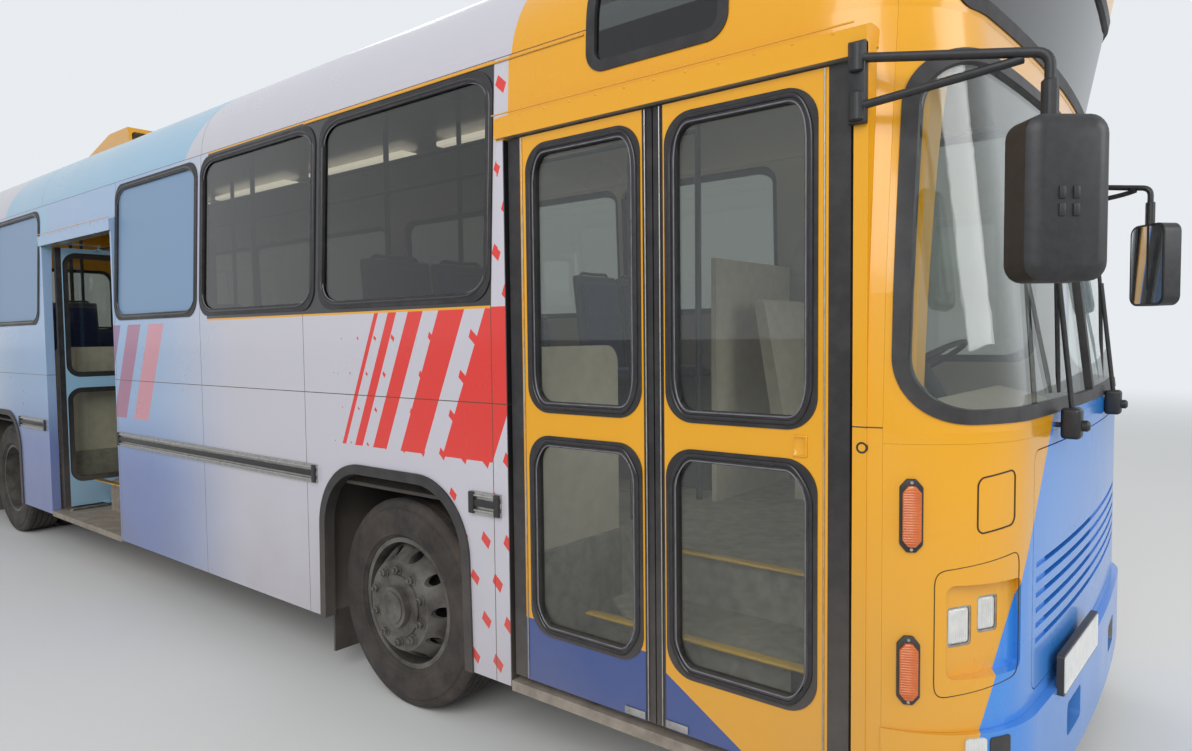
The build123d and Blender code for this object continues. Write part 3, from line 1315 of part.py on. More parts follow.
save(roof_vents.part, "roof_vents")
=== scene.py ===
from math import cos, pi, radians, sin

import bmesh
import bpy
from mathutils import Matrix, Vector


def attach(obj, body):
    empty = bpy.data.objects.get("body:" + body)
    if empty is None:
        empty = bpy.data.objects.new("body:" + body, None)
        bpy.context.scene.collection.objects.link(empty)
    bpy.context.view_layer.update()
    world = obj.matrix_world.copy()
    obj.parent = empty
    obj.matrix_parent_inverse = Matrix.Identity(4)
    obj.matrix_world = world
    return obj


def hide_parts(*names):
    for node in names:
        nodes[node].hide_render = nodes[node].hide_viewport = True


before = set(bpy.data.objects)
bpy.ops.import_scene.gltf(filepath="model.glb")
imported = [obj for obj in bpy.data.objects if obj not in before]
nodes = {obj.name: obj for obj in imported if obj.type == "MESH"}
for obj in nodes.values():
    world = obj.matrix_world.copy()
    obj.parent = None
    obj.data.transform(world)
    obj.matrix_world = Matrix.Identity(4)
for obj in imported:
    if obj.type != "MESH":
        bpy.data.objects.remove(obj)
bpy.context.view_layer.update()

# Underframe, axles and engine. Box beams, a dropped front beam and a drive housing of welded and
# forged steel, sprayed with matt black chassis wax in which road dust sticks, low parts most.


def linear(colour):
    """The linear RGBA of an sRGB hex colour."""
    parts = [int(colour[i:i + 2], 16) / 255 for i in (0, 2, 4)]
    return [p / 12.92 if p <= 0.04045 else ((p + 0.055) / 1.055) ** 2.4 for p in parts] + [1]


def node(tree, kind, inputs=None, **settings):
    """Adds a node with its settings, and a value, colour or link on each input that is named."""
    new = tree.nodes.new(kind)
    for key, value in settings.items():
        setattr(new, key, value)
    for key, value in (inputs or {}).items():
        if isinstance(value, bpy.types.Node):
            value = value.outputs[0]
        if isinstance(value, bpy.types.NodeSocket):
            tree.links.new(value, new.inputs[key])
        else:
            new.inputs[key].default_value = linear(value) if isinstance(value, str) else value
    return new


def blank(name):
    """A new material with its tree, its shader and the place on the object, in metres."""
    material = bpy.data.materials.new(name)
    material.use_nodes = True
    tree = material.node_tree
    return material, tree, tree.nodes["Principled BSDF"], node(tree, "ShaderNodeTexCoord").outputs["Object"]


def dress(tree, shader, place, colour, rough, grain, relief=0.1, dust=0.0):
    """Gives the shader a colour, uneven gloss, a relief of about grain millimetres, and dust low down."""
    fine = node(tree, "ShaderNodeTexNoise", {"Vector": place, "Scale": 1000 / grain, "Detail": 3.0})
    cloud = node(tree, "ShaderNodeTexNoise", {"Vector": place, "Scale": 2.2, "Detail": 5.0})
    gloss = node(tree, "ShaderNodeMapRange", {
        "Value": cloud, "From Min": 0.3, "From Max": 0.7, "To Min": rough * 0.85, "To Max": rough * 1.2,
    }).outputs[0]
    if dust:
        height = node(tree, "ShaderNodeSeparateXYZ", {0: place}).outputs["Z"]
        reach = {"Value": height, "From Min": 1.25, "From Max": 0.35, "To Max": 0.9}
        low = node(tree, "ShaderNodeMapRange", reach)
        film = node(tree, "ShaderNodeMath", {0: low, 1: cloud}, operation="MULTIPLY")
        film = node(tree, "ShaderNodeMath", {0: film, 1: dust}, operation="MULTIPLY", use_clamp=True)
        colour = node(tree, "ShaderNodeMix", {0: film, 6: colour, 7: "8f857a"}, data_type="RGBA").outputs[2]
        gloss = node(tree, "ShaderNodeMix", {0: film, 2: gloss, 3: 0.85}).outputs[0]
    bump = node(tree, "ShaderNodeBump", {"Height": fine, "Distance": relief / 1000, "Strength": 0.6})
    if isinstance(colour, str):
        shader.inputs["Base Color"].default_value = linear(colour)
    else:
        tree.links.new(colour, shader.inputs["Base Color"])
    tree.links.new(gloss, shader.inputs["Roughness"])
    tree.links.new(bump.outputs[0], shader.inputs["Normal"])


def coating(name, base, patch, rough, grain, relief=0.1, metal=0.0, dust=0.0):
    """A finish of two near shades in patches, with a relief of about grain millimetres."""
    material, tree, shader, place = blank(name)
    patches = {"Vector": place, "Scale": 90 / grain, "Detail": 6.0, "Roughness": 0.6}
    shade = node(tree, "ShaderNodeTexNoise", patches)
    share = node(tree, "ShaderNodeMapRange", {"Value": shade, "From Min": 0.38, "From Max": 0.66})
    colour = node(tree, "ShaderNodeMix", {0: share, 6: base, 7: patch}, data_type="RGBA").outputs[2]
    shader.inputs["Metallic"].default_value = metal
    dress(tree, shader, place, colour, rough, grain, relief, dust)
    return material


def give(material, *names):
    """Puts a material on CAD nodes."""
    for name in names:
        for slot in nodes[name].material_slots:
            slot.material = material


chassis_wax = coating("chassis_wax_on_steel", "24211f", "37312c", 0.7, 14, 0.5, dust=1.0)
cast_iron = coating("cast_iron", "4a4641", "36322e", 0.75, 6, 0.5, dust=0.6)
give(chassis_wax, "underframe", "front_axle", "rear_axle", "knuckle_right", "knuckle_left", "wheel_housings")
give(cast_iron, "engine")
give(coating("bellows_rubber", "1b1a1a", "2b2826", 0.75, 5, 0.3, dust=0.8), "air_springs")

# Tyres. Radial bus tyres with five ribs between straight grooves, the shoulders cut by sipes, and a
# scuff rib above the bead; the moulded rubber is grey, clouded browner in patches with dust.


def primitive(kind, **place):
    """Adds a primitive, which is then all that is selected."""
    bpy.ops.object.select_all(action="DESELECT")
    getattr(bpy.ops.mesh, f"primitive_{kind}_add")(**place)
    bpy.ops.object.transform_apply(location=True, rotation=True, scale=True)
    return bpy.context.object


def disc(sides, radius, deep, at=(0, 0, 0), turn=(pi / 2, 0, 0)):
    """A cylinder that lies across the vehicle, or is turned by the angles given."""
    return primitive("cylinder", vertices=sides, radius=radius, depth=deep, location=at, rotation=turn)


def select(piece, test, part="faces"):
    """In edit mode, selects only the faces, edges or vertices that pass the test."""
    bpy.ops.mesh.select_mode(type={"faces": "FACE", "edges": "EDGE", "verts": "VERT"}[part])
    bpy.ops.mesh.select_all(action="DESELECT")
    mesh = bmesh.from_edit_mesh(piece.data)
    mesh.normal_update()
    for item in getattr(mesh, part):
        if test(item):
            item.select_set(True)
    mesh.select_flush_mode()
    bmesh.update_edit_mesh(piece.data)


def middle(item):
    """The middle of a face or an edge."""
    return sum((v.co for v in item.verts), Vector()) / len(item.verts)


def radius_at(item):
    """How far the middle of a face or an edge is from the Y axis."""
    at = middle(item)
    return (at.x ** 2 + at.z ** 2) ** 0.5


def smooth(angle=35):
    """Leaves edit mode and shades smooth the edges that bend by less than the angle, in degrees."""
    bpy.ops.object.mode_set(mode="OBJECT")
    bpy.ops.object.shade_smooth_by_angle(angle=radians(angle))


def joined(pieces):
    """The pieces as one mesh."""
    bpy.ops.object.select_all(action="DESELECT")
    for piece in pieces:
        piece.select_set(True)
    bpy.context.view_layer.objects.active = pieces[0]
    bpy.ops.object.join()
    return bpy.context.object


def copies(piece, moves):
    """One mesh of a copy of the piece for each move, a 4x4 matrix. The piece itself goes."""
    made = []
    for move in moves:
        copy = piece.copy()
        copy.data = piece.data.copy()
        copy.data.transform(move)
        if move.determinant() < 0:
            copy.data.flip_normals()
        bpy.context.collection.objects.link(copy)
        made.append(copy)
    bpy.data.objects.remove(piece)
    return joined(made)


def finish(piece, name, material, body="root", instead_of=()):
    """Gives a finished piece its name, finish, slot and body, and hides the CAD nodes that it stands for."""
    piece.name = piece.data.name = name
    piece.data.materials.clear()
    piece.data.materials.append(material)
    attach(piece, body)
    if instead_of:
        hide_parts(*instead_of)
    return piece


WHEEL_Z = 0.48
AXLES = {"front": 3.24, "rear": -2.36}
TYRES_Y = {"front": (1.042,), "rear": (1.050, 0.735)}  # the rear wheels are twins
WHEEL_BODY = {"front": "front_wheel_", "rear": "rear_wheels_"}
TYRE_NODE = {"front": "front_tyre_", "rear": "rear_tyres_"}
SIDES = (("right", -1), ("left", 1))
TREAD_HALF, TYRE_RADIUS = 0.1035, 0.4782
# Half section from the tread's edge down to the bead: out from the middle, radius
TYRE_SECTION = (
    (0.113, 0.474), (0.120, 0.464), (0.1235, 0.452), (0.1245, 0.440), (0.132, 0.432),
    (0.1365, 0.405), (0.1375, 0.380), (0.1355, 0.352), (0.131, 0.330), (0.1325, 0.326),
    (0.1315, 0.317), (0.1255, 0.314), (0.117, 0.302), (0.104, 0.300), (0.104, 0.286),
)
GROOVES, GROOVE_HALF, GROOVE_DEEP = (-0.066, -0.022, 0.022, 0.066), 0.0045, 0.012
GROOVE_FLARE, SIPE_HALF, SIPE_RISE = 0.0012, 0.0014, 0.0016

tyre = disc(112, TYRE_RADIUS, 2 * TREAD_HALF)
bpy.ops.object.mode_set(mode="EDIT")
for side in (-1, 1):
    select(tyre, lambda f: f.normal.y * side > 0.9 and middle(f).y * side > 0.1)
    out, radius = TREAD_HALF, TYRE_RADIUS
    for next_out, next_radius in TYRE_SECTION:
        step = (0, side * (next_out - out), 0)
        bpy.ops.mesh.extrude_region_move(TRANSFORM_OT_translate={"value": step})
        share = next_radius / radius
        bpy.ops.transform.resize(value=(share, 1, share), center_override=(0, side * next_out, 0))
        out, radius = next_out, next_radius
    bpy.ops.mesh.delete(type="FACE")
select(tyre, lambda e: e.is_boundary, "edges")
bpy.ops.mesh.bridge_edge_loops()
for groove in GROOVES:
    for edge in (-GROOVE_HALF, GROOVE_HALF):
        bpy.ops.mesh.select_all(action="SELECT")
        bpy.ops.mesh.bisect(plane_co=(0, groove + edge, 0), plane_no=(0, 1, 0))
select(tyre, lambda f: radius_at(f) > 0.47 and min(abs(middle(f).y - g) for g in GROOVES) < 0.003)
bpy.ops.mesh.inset(thickness=GROOVE_FLARE, depth=-GROOVE_DEEP, use_even_offset=False)
select(tyre, lambda f: radius_at(f) > 0.4765 and min(abs(middle(f).y - g) for g in GROOVES) > 0.006)
bpy.ops.mesh.inset(thickness=SIPE_HALF, depth=SIPE_RISE, use_individual=True, use_even_offset=False)
bpy.ops.mesh.select_all(action="SELECT")
bpy.ops.mesh.normals_make_consistent(inside=False)
smooth(32)

# moulded rubber: matt, and clouded with dust
tyre_rubber, tree, shader, place = blank("tyre_rubber")
stain = node(tree, "ShaderNodeTexNoise", {"Vector": place, "Scale": 7.0, "Detail": 8.0, "Roughness": 0.65})
share = node(tree, "ShaderNodeMapRange", {"Value": stain, "From Min": 0.35, "From Max": 0.7})
colour = node(tree, "ShaderNodeMix", {0: share, 6: "2b2827", 7: "4d453f"}, data_type="RGBA").outputs[2]
dress(tree, shader, place, colour, 0.8, 3, 0.3)

for name, side in SIDES:
    for spot, x in AXLES.items():
        one = tyre.copy()
        bpy.context.collection.objects.link(one)
        worn = copies(one, [Matrix.Translation((x, side * y, WHEEL_Z)) for y in TYRES_Y[spot]])
        body, stood_for = WHEEL_BODY[spot] + name, (TYRE_NODE[spot] + name,)
        finish(worn, f"{spot}_tread_{name}", tyre_rubber, body, stood_for)
bpy.data.objects.remove(tyre)

# Wheel fittings. Ten flange nuts on their studs round each steel disc wheel, over the wheel's sprayed
# silver grey enamel, which brake dust has turned brown; a bolted cap closes each hub.

NUTS, NUT_RING, NUT_RADIUS, NUT_HIGH = 10, 0.1675, 0.0185, 0.024
NUT_EDGE, NUT_WALL, STUD_OUT = 0.003, 0.004, 0.009
FLANGE_RADIUS, FLANGE_HIGH = 0.026, 0.005
DISC_Y = {"front": 1.1995, "rear": 0.8925}
CAP_Y, CAP_RADIUS, CAP_THICK = {"front": 1.240, "rear": 1.080}, 0.072, 0.006
OUT = (-pi / 2, 0, 0)  # the turn that lays a cylinder's top outwards
# How far the cap's face steps in and out, as a thickness and a depth for each inset
CAP_STEPS = {
    "front": ((0.018, 0), (0.010, 0.003), (0.012, -0.002)),
    "rear": ((0.018, 0), (0.010, 0.006), (0.012, -0.004)),
}


def inset(piece, test, *steps):
    """Insets the faces that pass the test, once for each thickness and depth."""
    bpy.ops.object.mode_set(mode="EDIT")
    select(piece, test)
    for thickness, depth in steps:
        bpy.ops.mesh.inset(thickness=thickness, depth=depth)
    bpy.ops.object.mode_set(mode="OBJECT")


wheel_enamel = coating("wheel_enamel_on_steel", "67645f", "433d38", 0.55, 10, 0.3, metal=0.1)
give(wheel_enamel, "front_rim_right", "front_rim_left", "rear_rims_right", "rear_rims_left")

for spot, x in AXLES.items():
    for name, side in SIDES:
        body = WHEEL_BODY[spot] + name
        nut = disc(6, NUT_RADIUS, NUT_HIGH, (0, NUT_HIGH / 2, 0), OUT)
        bpy.ops.object.mode_set(mode="EDIT")
        select(nut, lambda f: f.normal.y > 0.9)
        bpy.ops.mesh.bevel(offset=NUT_EDGE, segments=1)
        select(nut, lambda f: f.normal.y > 0.9)
        bpy.ops.mesh.inset(thickness=NUT_WALL)
        bpy.ops.mesh.extrude_region_move(TRANSFORM_OT_translate={"value": (0, STUD_OUT, 0)})
        bpy.ops.object.mode_set(mode="OBJECT")
        flange = disc(20, FLANGE_RADIUS, FLANGE_HIGH, (0, FLANGE_HIGH / 2, 0), OUT)
        nut.select_set(True)
        bpy.ops.object.join()
        to_disc = Matrix.Translation((x, side * DISC_Y[spot], WHEEL_Z)) @ Matrix.Scale(side, 4, (0, 1, 0))
        to_ring = Matrix.Translation((NUT_RING, 0, 0))
        turns = [Matrix.Rotation(2 * pi * (i + 0.5) / NUTS, 4, "Y") for i in range(NUTS)]
        ring = copies(flange, [to_disc @ turn @ to_ring for turn in turns])
        finish(ring, f"{spot}_wheel_nuts_{name}", wheel_enamel, body)

        cap = disc(48, CAP_RADIUS, CAP_THICK, (x, side * (CAP_Y[spot] + CAP_THICK / 2), WHEEL_Z))
        inset(cap, lambda f: f.normal.y * side > 0.9, *CAP_STEPS[spot])
        finish(cap, f"{spot}_hub_cap_{name}", wheel_enamel, body)

# Body shell. Steel and GRP panels on a tube frame, sprayed with two-pack coach enamel in yellow and
# blue; printed film covers the middle and the rear of the sides, with a hard edge beside the door.

YELLOW, BLUE, DEEP_BLUE, WHITE = "e6a206", "2688e2", "1c448c", "c6c3cc"
SKY, RED, BLACK, LAMINATE = "92bbd6", "dd3128", "201e21", "8f897f"


def zones(tree, place, colour, table):
    """The colour at a place: of the last zone whose planes all have it in front, else the one given."""
    for tint, planes in table:
        inside = 1.0
        for normal, along in planes:
            reach = node(tree, "ShaderNodeVectorMath", {0: place, 1: normal}, operation="DOT_PRODUCT")
            reach = reach.outputs["Value"]
            front = node(tree, "ShaderNodeMath", {0: reach, 1: along}, operation="GREATER_THAN")
            inside = node(tree, "ShaderNodeMath", {0: front, 1: inside}, operation="MULTIPLY")
        colour = node(tree, "ShaderNodeMix", {0: inside, 6: colour, 7: tint}, data_type="RGBA").outputs[2]
    return colour


def seams(tree, place, colour, lines):
    """Dark joint lines in a colour: for each the plane's normal, its place, and half its width, metres."""
    for normal, along, half in lines:
        reach = node(tree, "ShaderNodeVectorMath", {0: place, 1: normal}, operation="DOT_PRODUCT")
        reach = reach.outputs["Value"]
        near = node(tree, "ShaderNodeMath", {0: reach, 1: along, 2: half}, operation="COMPARE")
        colour = node(tree, "ShaderNodeMix", {0: near, 6: colour, 7: "4b3b28"}, data_type="RGBA").outputs[2]
    return colour


SALOON_MIDDLE_Z = 1.7


def lined(tree, place, colour):
    """Grey laminate in place of the colour on faces that look in: down from the roof or across."""
    middle_z = (0, 0, SALOON_MIDDLE_Z)
    out = node(tree, "ShaderNodeVectorMath", {0: place, 1: middle_z}, operation="SUBTRACT").outputs[0]
    out = node(tree, "ShaderNodeVectorMath", {0: out, 1: (-9, -9, 0)}, operation="MAXIMUM").outputs[0]
    out = node(tree, "ShaderNodeVectorMath", {0: out, 1: (0, 1, 1)}, operation="MULTIPLY").outputs[0]
    normal = node(tree, "ShaderNodeTexCoord").outputs["Normal"]
    outward = node(tree, "ShaderNodeVectorMath", {0: out, 1: normal}, operation="DOT_PRODUCT")
    inner = node(tree, "ShaderNodeMath", {0: outward.outputs["Value"], 1: -0.3}, operation="LESS_THAN")
    return node(tree, "ShaderNodeMix", {0: inner, 6: colour, 7: LAMINATE}, data_type="RGBA").outputs[2]


def enamel(name, colour_of, rough=0.22, dust=0.5):
    """Coach enamel: the colour under a clear gloss, with the orange peel of spraying, 4 mm wide."""
    material, tree, shader, place = blank(name)
    dress(tree, shader, place, lined(tree, place, colour_of(tree, place)), rough, 4, 0.05, dust)
    shader.inputs["Coat Weight"].default_value = 0.4
    shader.inputs["Coat Roughness"].default_value = 0.08
    return material


X, Y, Z = (1, 0, 0), (0, 1, 0), (0, 0, 1)
BACK, DOWN = (-1, 0, 0), (0, 0, -1)
FRONT_POST_X, DOORWAY_X = 3.925, 4.005
BAND_X, BAND_Z, BAND_LINE = 1.58, (1.815, 2.752), 0.010
BAR_LEAN = (1, 0, -0.45)  # the bars lean forward
# Where each bar starts along the lean, and its width
RED_BARS = ((2.36, 0.03), (2.46, 0.06), (2.60, 0.10), (2.80, 0.16), (3.08, 0.30))
MAUVE_BARS = ((-0.62, 0.16, "8a6292"), (-0.34, 0.20, "a8708f"), (-0.02, 0.22, "cf8f9c"))
PANEL_JOINTS_X = (2.585, FRONT_POST_X, 1.49, 0.25, -3.3, -4.6)
JOINT_HALF = 0.002


def side_colour(tree, place):
    """White film that turns blue to the rear and lower down, with plain bars and lozenges for a print."""
    axis = node(tree, "ShaderNodeSeparateXYZ", {0: place}).outputs
    fade = {"interpolation_type": "SMOOTHSTEP"}
    reach = {"Value": axis["X"], "From Min": 2.05, "From Max": 0.6}
    to_rear = node(tree, "ShaderNodeMapRange", reach, **fade)
    colour = node(tree, "ShaderNodeMix", {0: to_rear, 6: WHITE, 7: "97b3d6"}, data_type="RGBA").outputs[2]
    reach = {"Value": axis["Z"], "From Min": 1.35, "From Max": 0.8, "To Max": 0.85}
    below = node(tree, "ShaderNodeMapRange", reach, **fade)
    deep = node(tree, "ShaderNodeMath", {0: to_rear, 1: below}, operation="MULTIPLY")
    colour = node(tree, "ShaderNodeMix", {0: deep, 6: colour, 7: "6475b4"}, data_type="RGBA").outputs[2]
    reach = {"Value": axis["X"], "From Min": -1.6, "From Max": -3.4}
    tail = node(tree, "ShaderNodeMapRange", reach, **fade)
    colour = node(tree, "ShaderNodeMix", {0: tail, 6: colour, 7: "d5dbe6"}, data_type="RGBA").outputs[2]

    # lozenges on a slanted 130 mm grid, growing towards the doorway
    spread = []
    for along in ((7.7, 0, 3.0), (0, 0, 6.2)):
        part = node(tree, "ShaderNodeVectorMath", {0: place, 1: along}, operation="DOT_PRODUCT")
        part = node(tree, "ShaderNodeMath", {0: part.outputs["Value"]}, operation="FRACT")
        part = node(tree, "ShaderNodeMath", {0: part, 1: 0.5}, operation="SUBTRACT")
        spread.append(node(tree, "ShaderNodeMath", {0: part}, operation="ABSOLUTE"))
    far = node(tree, "ShaderNodeMath", {0: spread[0], 1: spread[1]}, operation="ADD")
    reach = {"Value": axis["X"], "From Min": 2.9, "From Max": 4.0, "To Min": 0.03, "To Max": 0.24}
    size = node(tree, "ShaderNodeMapRange", reach)
    lozenge = node(tree, "ShaderNodeMath", {0: far, 1: size}, operation="LESS_THAN")
    started = node(tree, "ShaderNodeMath", {0: axis["X"], 1: 2.8}, operation="GREATER_THAN")
    lozenge = node(tree, "ShaderNodeMath", {0: lozenge, 1: started}, operation="MULTIPLY")
    colour = node(tree, "ShaderNodeMix", {0: lozenge, 6: colour, 7: RED}, data_type="RGBA").outputs[2]

    against_lean = tuple(-part for part in BAR_LEAN)
    bars = []
    for start, wide in RED_BARS:
        ends = ((Z, 1.2), (DOWN, -1.81), (X, 2.9))
        bars.append((RED, ((BAR_LEAN, start), (against_lean, -start - wide), *ends)))
    for start, wide, tint in MAUVE_BARS:
        ends = ((Z, 1.18), (DOWN, -1.80))
        bars.append((tint, ((BAR_LEAN, start), (against_lean, -start - wide), *ends)))
    colour = zones(tree, place, colour, bars)

    band_x = ((X, BAND_X), (BACK, -FRONT_POST_X))
    low, high = BAND_Z
    colour = zones(tree, place, colour, (
        (YELLOW, ((X, DOORWAY_X),)),
        (BLACK, ((X, DOORWAY_X), (BACK, -DOORWAY_X - 0.025), (DOWN, -2.435))),
        (YELLOW, ((X, 3.952), (Z, 2.435), (DOWN, -2.535))),
        (YELLOW, (*band_x, (Z, low - BAND_LINE), (DOWN, -high - BAND_LINE))),
        (BLACK, (*band_x, (Z, low), (DOWN, -high))),
        (SKY, ((BACK, 1.09), (X, -1.27), (Z, 2.40), (DOWN, -2.76))),
    ))
    joints = ((Z, 1.433, JOINT_HALF), *[(X, x, JOINT_HALF) for x in PANEL_JOINTS_X])
    return seams(tree, place, colour, joints)


def roof_colour(tree, place):
    """Yellow over the front doorway, white film behind it, and a sky blue field over the rear doorway."""
    slope = 0.945
    colour = zones(tree, place, WHITE, (
        (SKY, (((-1, 0, slope), 1.327), ((1, 0, -slope), -4.75), (Z, 2.6))),
        (YELLOW, (((1, 0, -0.15), 3.605),)),
    ))
    joints = ((Z, 2.762, 0.0015), *[(X, x, JOINT_HALF) for x in (1.5, -1.2, -3.6)])
    return seams(tree, place, colour, joints)


def front_colour(tree, place):
    """Yellow with a blue field beyond a slanted edge, from the right lamp up to the left of the display."""
    return zones(tree, place, YELLOW, (
        (BLUE, (((2.09, 1, -0.762), 10.286), (DOWN, -1.48))),
        (BLUE, ((Y, 1.06), (X, 5.2))),
    ))


def rear_colour(tree, place):
    """The rear follows the front: yellow with a blue field below a slanted edge."""
    colour = zones(tree, place, YELLOW, ((BLUE, (((0, 0.5, -1), -1.5),)),))
    joints = ((Y, 0.0, 0.0015), *[(way, at, JOINT_HALF) for way, at in ((Z, 1.42), (Y, -0.96), (Y, 0.96))])
    return seams(tree, place, colour, joints)


def leaf_colour(tree, place):
    """Yellow leaves with a blue foot below an edge that falls forward; the rear doors are sky blue."""
    return zones(tree, place, YELLOW, (
        (DEEP_BLUE, (((-0.62, 0, -1), -3.50), (X, 4.0), (DOWN, -0.62))),
        (SKY, ((BACK, -1.0),)),
    ))


def door_nodes(part):
    """The CAD nodes of one part of the doors, one for each leaf."""
    return [f"{door}_door_{part}_{leaf}" for door in ("front", "mid") for leaf in ("front", "rear")]


give(enamel("film_over_coach_enamel", side_colour, 0.3, 0.55), "side_wall_right", "side_wall_left")
give(enamel("roof_enamel", roof_colour, 0.3, 0.0), "roof")
front_enamel = enamel("front_enamel", front_colour)
give(front_enamel, "front_dome", "front_mask", "front_panel", "lamp_housings", "front_bumper")
give(enamel("rear_enamel", rear_colour, 0.3, 0.8), "rear_wall", "rear_bumper")
door_enamel = enamel("door_enamel", leaf_colour)
yellow_enamel = enamel("yellow_coach_enamel", lambda tree, place: YELLOW)
give(yellow_enamel, "roof_vents")
give(door_enamel, *door_nodes("leaf"))

# Rub rails and door arms. The rails are aluminium extrusions, dull and scuffed; the arms are steel
# tube, zinc plated, which leaves a grey bloom.

aluminium = coating("extruded_aluminium", "b9b8b4", "a19e99", 0.38, 3, 0.05, metal=0.9, dust=0.25)
zinc = coating("zinc_plated_steel", "a9a8a2", "84827b", 0.45, 4, 0.05, metal=0.9)
give(aluminium, "rub_rails")
give(zinc, *door_nodes("arms"))

# Rubber profiles. Black EPDM round every pane, at the doors' edges and on the arches, satin where it
# is wiped and grey with dust where it isn't.

epdm = coating("epdm_profile", "1d1b1d", "302d2e", 0.5, 6, 0.1, dust=0.5)
give(epdm, "window_rubbers", "arch_lips", *door_nodes("rubber"))

# Panes. Tinted toughened glass in the saloon, clear glass in the doors and the laminated windscreen,
# and smoked glass over the displays; film covers two saloon panes beside the rear doorway.


def pane(name, tint, film_spans=()):
    """Glass in a tint that mirrors more at a glance; on the right side film covers it from X to X."""
    material, tree, shader, place = blank(name)
    tree.nodes.remove(shader)
    facing = node(tree, "ShaderNodeLayerWeight", {"Blend": 0.5}).outputs["Facing"]
    steep = node(tree, "ShaderNodeMath", {0: facing, 1: 4.0}, operation="POWER")
    share = node(tree, "ShaderNodeMapRange", {"Value": steep, "To Min": 0.05, "To Max": 0.8})
    clear = node(tree, "ShaderNodeBsdfTransparent", {"Color": tint})
    mirror = node(tree, "ShaderNodeBsdfAnisotropic", {"Color": "ffffff", "Roughness": 0.02})
    glass = node(tree, "ShaderNodeMixShader", {0: share, 1: clear, 2: mirror})
    for low, high in film_spans:
        film = node(tree, "ShaderNodeBsdfPrincipled", {"Base Color": FILM, "Roughness": 0.35})
        axis = node(tree, "ShaderNodeSeparateXYZ", {0: place}).outputs
        ahead = node(tree, "ShaderNodeMath", {0: axis["X"], 1: low}, operation="GREATER_THAN")
        behind = node(tree, "ShaderNodeMath", {0: axis["X"], 1: high}, operation="LESS_THAN")
        right = node(tree, "ShaderNodeMath", {0: axis["Y"], 1: 0.0}, operation="LESS_THAN")
        inside = node(tree, "ShaderNodeMath", {0: ahead, 1: behind}, operation="MULTIPLY")
        inside = node(tree, "ShaderNodeMath", {0: inside, 1: right}, operation="MULTIPLY")
        glass = node(tree, "ShaderNodeMixShader", {0: inside, 1: glass, 2: film})
    tree.links.new(glass.outputs[0], tree.nodes["Material Output"].inputs["Surface"])
    return material


FILM, FILMED_PANES = "7795b6", ((0.25, 1.45), (-2.45, -1.25))
give(pane("tinted_glass", "b4b5b1", FILMED_PANES), "saloon_windows")
give(pane("clear_glass", "f0f4f2"), "windscreen", *door_nodes("glass"))
give(pane("smoked_glass", "71777c"), "display_panes")

# Saloon. Vinyl floor covering, cream laminate on partitions and on the driver's desk, steel handrails
# in dark powder coat, and a steering wheel and wipers of moulded plastic.

give(coating("floor_vinyl", "978d80", "7d746a", 0.6, 5, 0.2), "floor", "step_wells")
give(coating("cream_laminate", "cdbfae", "c2b4a2", 0.5, 6, 0.05), "partitions", "driver_place")
give(coating("handrail_powder_coat", "3a3d40", "2c2e31", 0.35, 5, 0.05), "handrails")
give(coating("moulded_polyurethane", "1d1d1f", "29292b", 0.6, 2, 0.1), "steering_wheel", "wipers")

# Lamps. Amber side markers with ribbed lenses on black bases, clusters of square lenses at the rear, and
# two headlamps a side behind fluted glass in thin frames; ceiling lamps have milky covers.

CORNER_X, CORNER_Y, CORNER_R = 5.3415, 0.85, 0.4
BUMPER_PROUD = 0.025


def block(size, centre=(0, 0, 0), edge=0.003, segments=2):
    """A block with rounded edges."""
    piece = primitive("cube", size=1, location=centre, scale=size)
    bpy.ops.object.mode_set(mode="EDIT")
    bpy.ops.mesh.select_all(action="SELECT")
    bpy.ops.mesh.bevel(offset=edge, segments=segments)
    smooth()
    return piece


def drawn_in(wide, deep, high, tip, out):
    """A flat upright block whose two ends are drawn in to tips; its middle is out from the skin."""
    piece = primitive("cube", size=1, location=(0, out, 0), scale=(wide, deep, high - 2 * tip))
    bpy.ops.object.mode_set(mode="EDIT")
    for end in (-1, 1):
        select(piece, lambda f: f.normal.z * end > 0.9)
        bpy.ops.mesh.extrude_region_move(TRANSFORM_OT_translate={"value": (0, 0, end * tip)})
        bpy.ops.transform.resize(value=(0.4, 1, 1), center_override=(0, out, end * high / 2))
    bpy.ops.mesh.select_all(action="SELECT")
    bpy.ops.mesh.bevel(offset=0.003, segments=2)
    smooth()
    return piece


def long_in_y(edge, deep):
    """True for an edge that runs through a plate of a depth along Y."""
    return abs(edge.verts[0].co.y - edge.verts[1].co.y) > deep / 2


def slab(wide, deep, high, corner, strips=1):
    """A thin upright plate with rounded corners, in strips that let it bend."""
    piece = primitive("cube", size=1, scale=(wide, deep, high))
    bpy.ops.object.mode_set(mode="EDIT")
    select(piece, lambda e: long_in_y(e, deep), "edges")
    bpy.ops.mesh.bevel(offset=corner, segments=4)
    for i in range(1, strips):
        bpy.ops.mesh.select_all(action="SELECT")
        bpy.ops.mesh.bisect(plane_co=(wide * (i / strips - 0.5), 0, 0), plane_no=(1, 0, 0))
    smooth()
    return piece


def round_corner(at, angle, height, proud=0.0):
    """A point of a flat piece bent round the right front corner: X runs back along the skin, Y stands out."""
    turn = radians(angle) - at.x / CORNER_R
    out = CORNER_R + at.y
    return Vector((CORNER_X + proud + out * cos(turn), out * sin(turn) - CORNER_Y, height + at.z))


def wrap(piece, angle, height, proud=0.0):
    """Bends a flat piece round the right front corner."""
    for vert in piece.data.vertices:
        vert.co = round_corner(vert.co, angle, height, proud)
    return piece


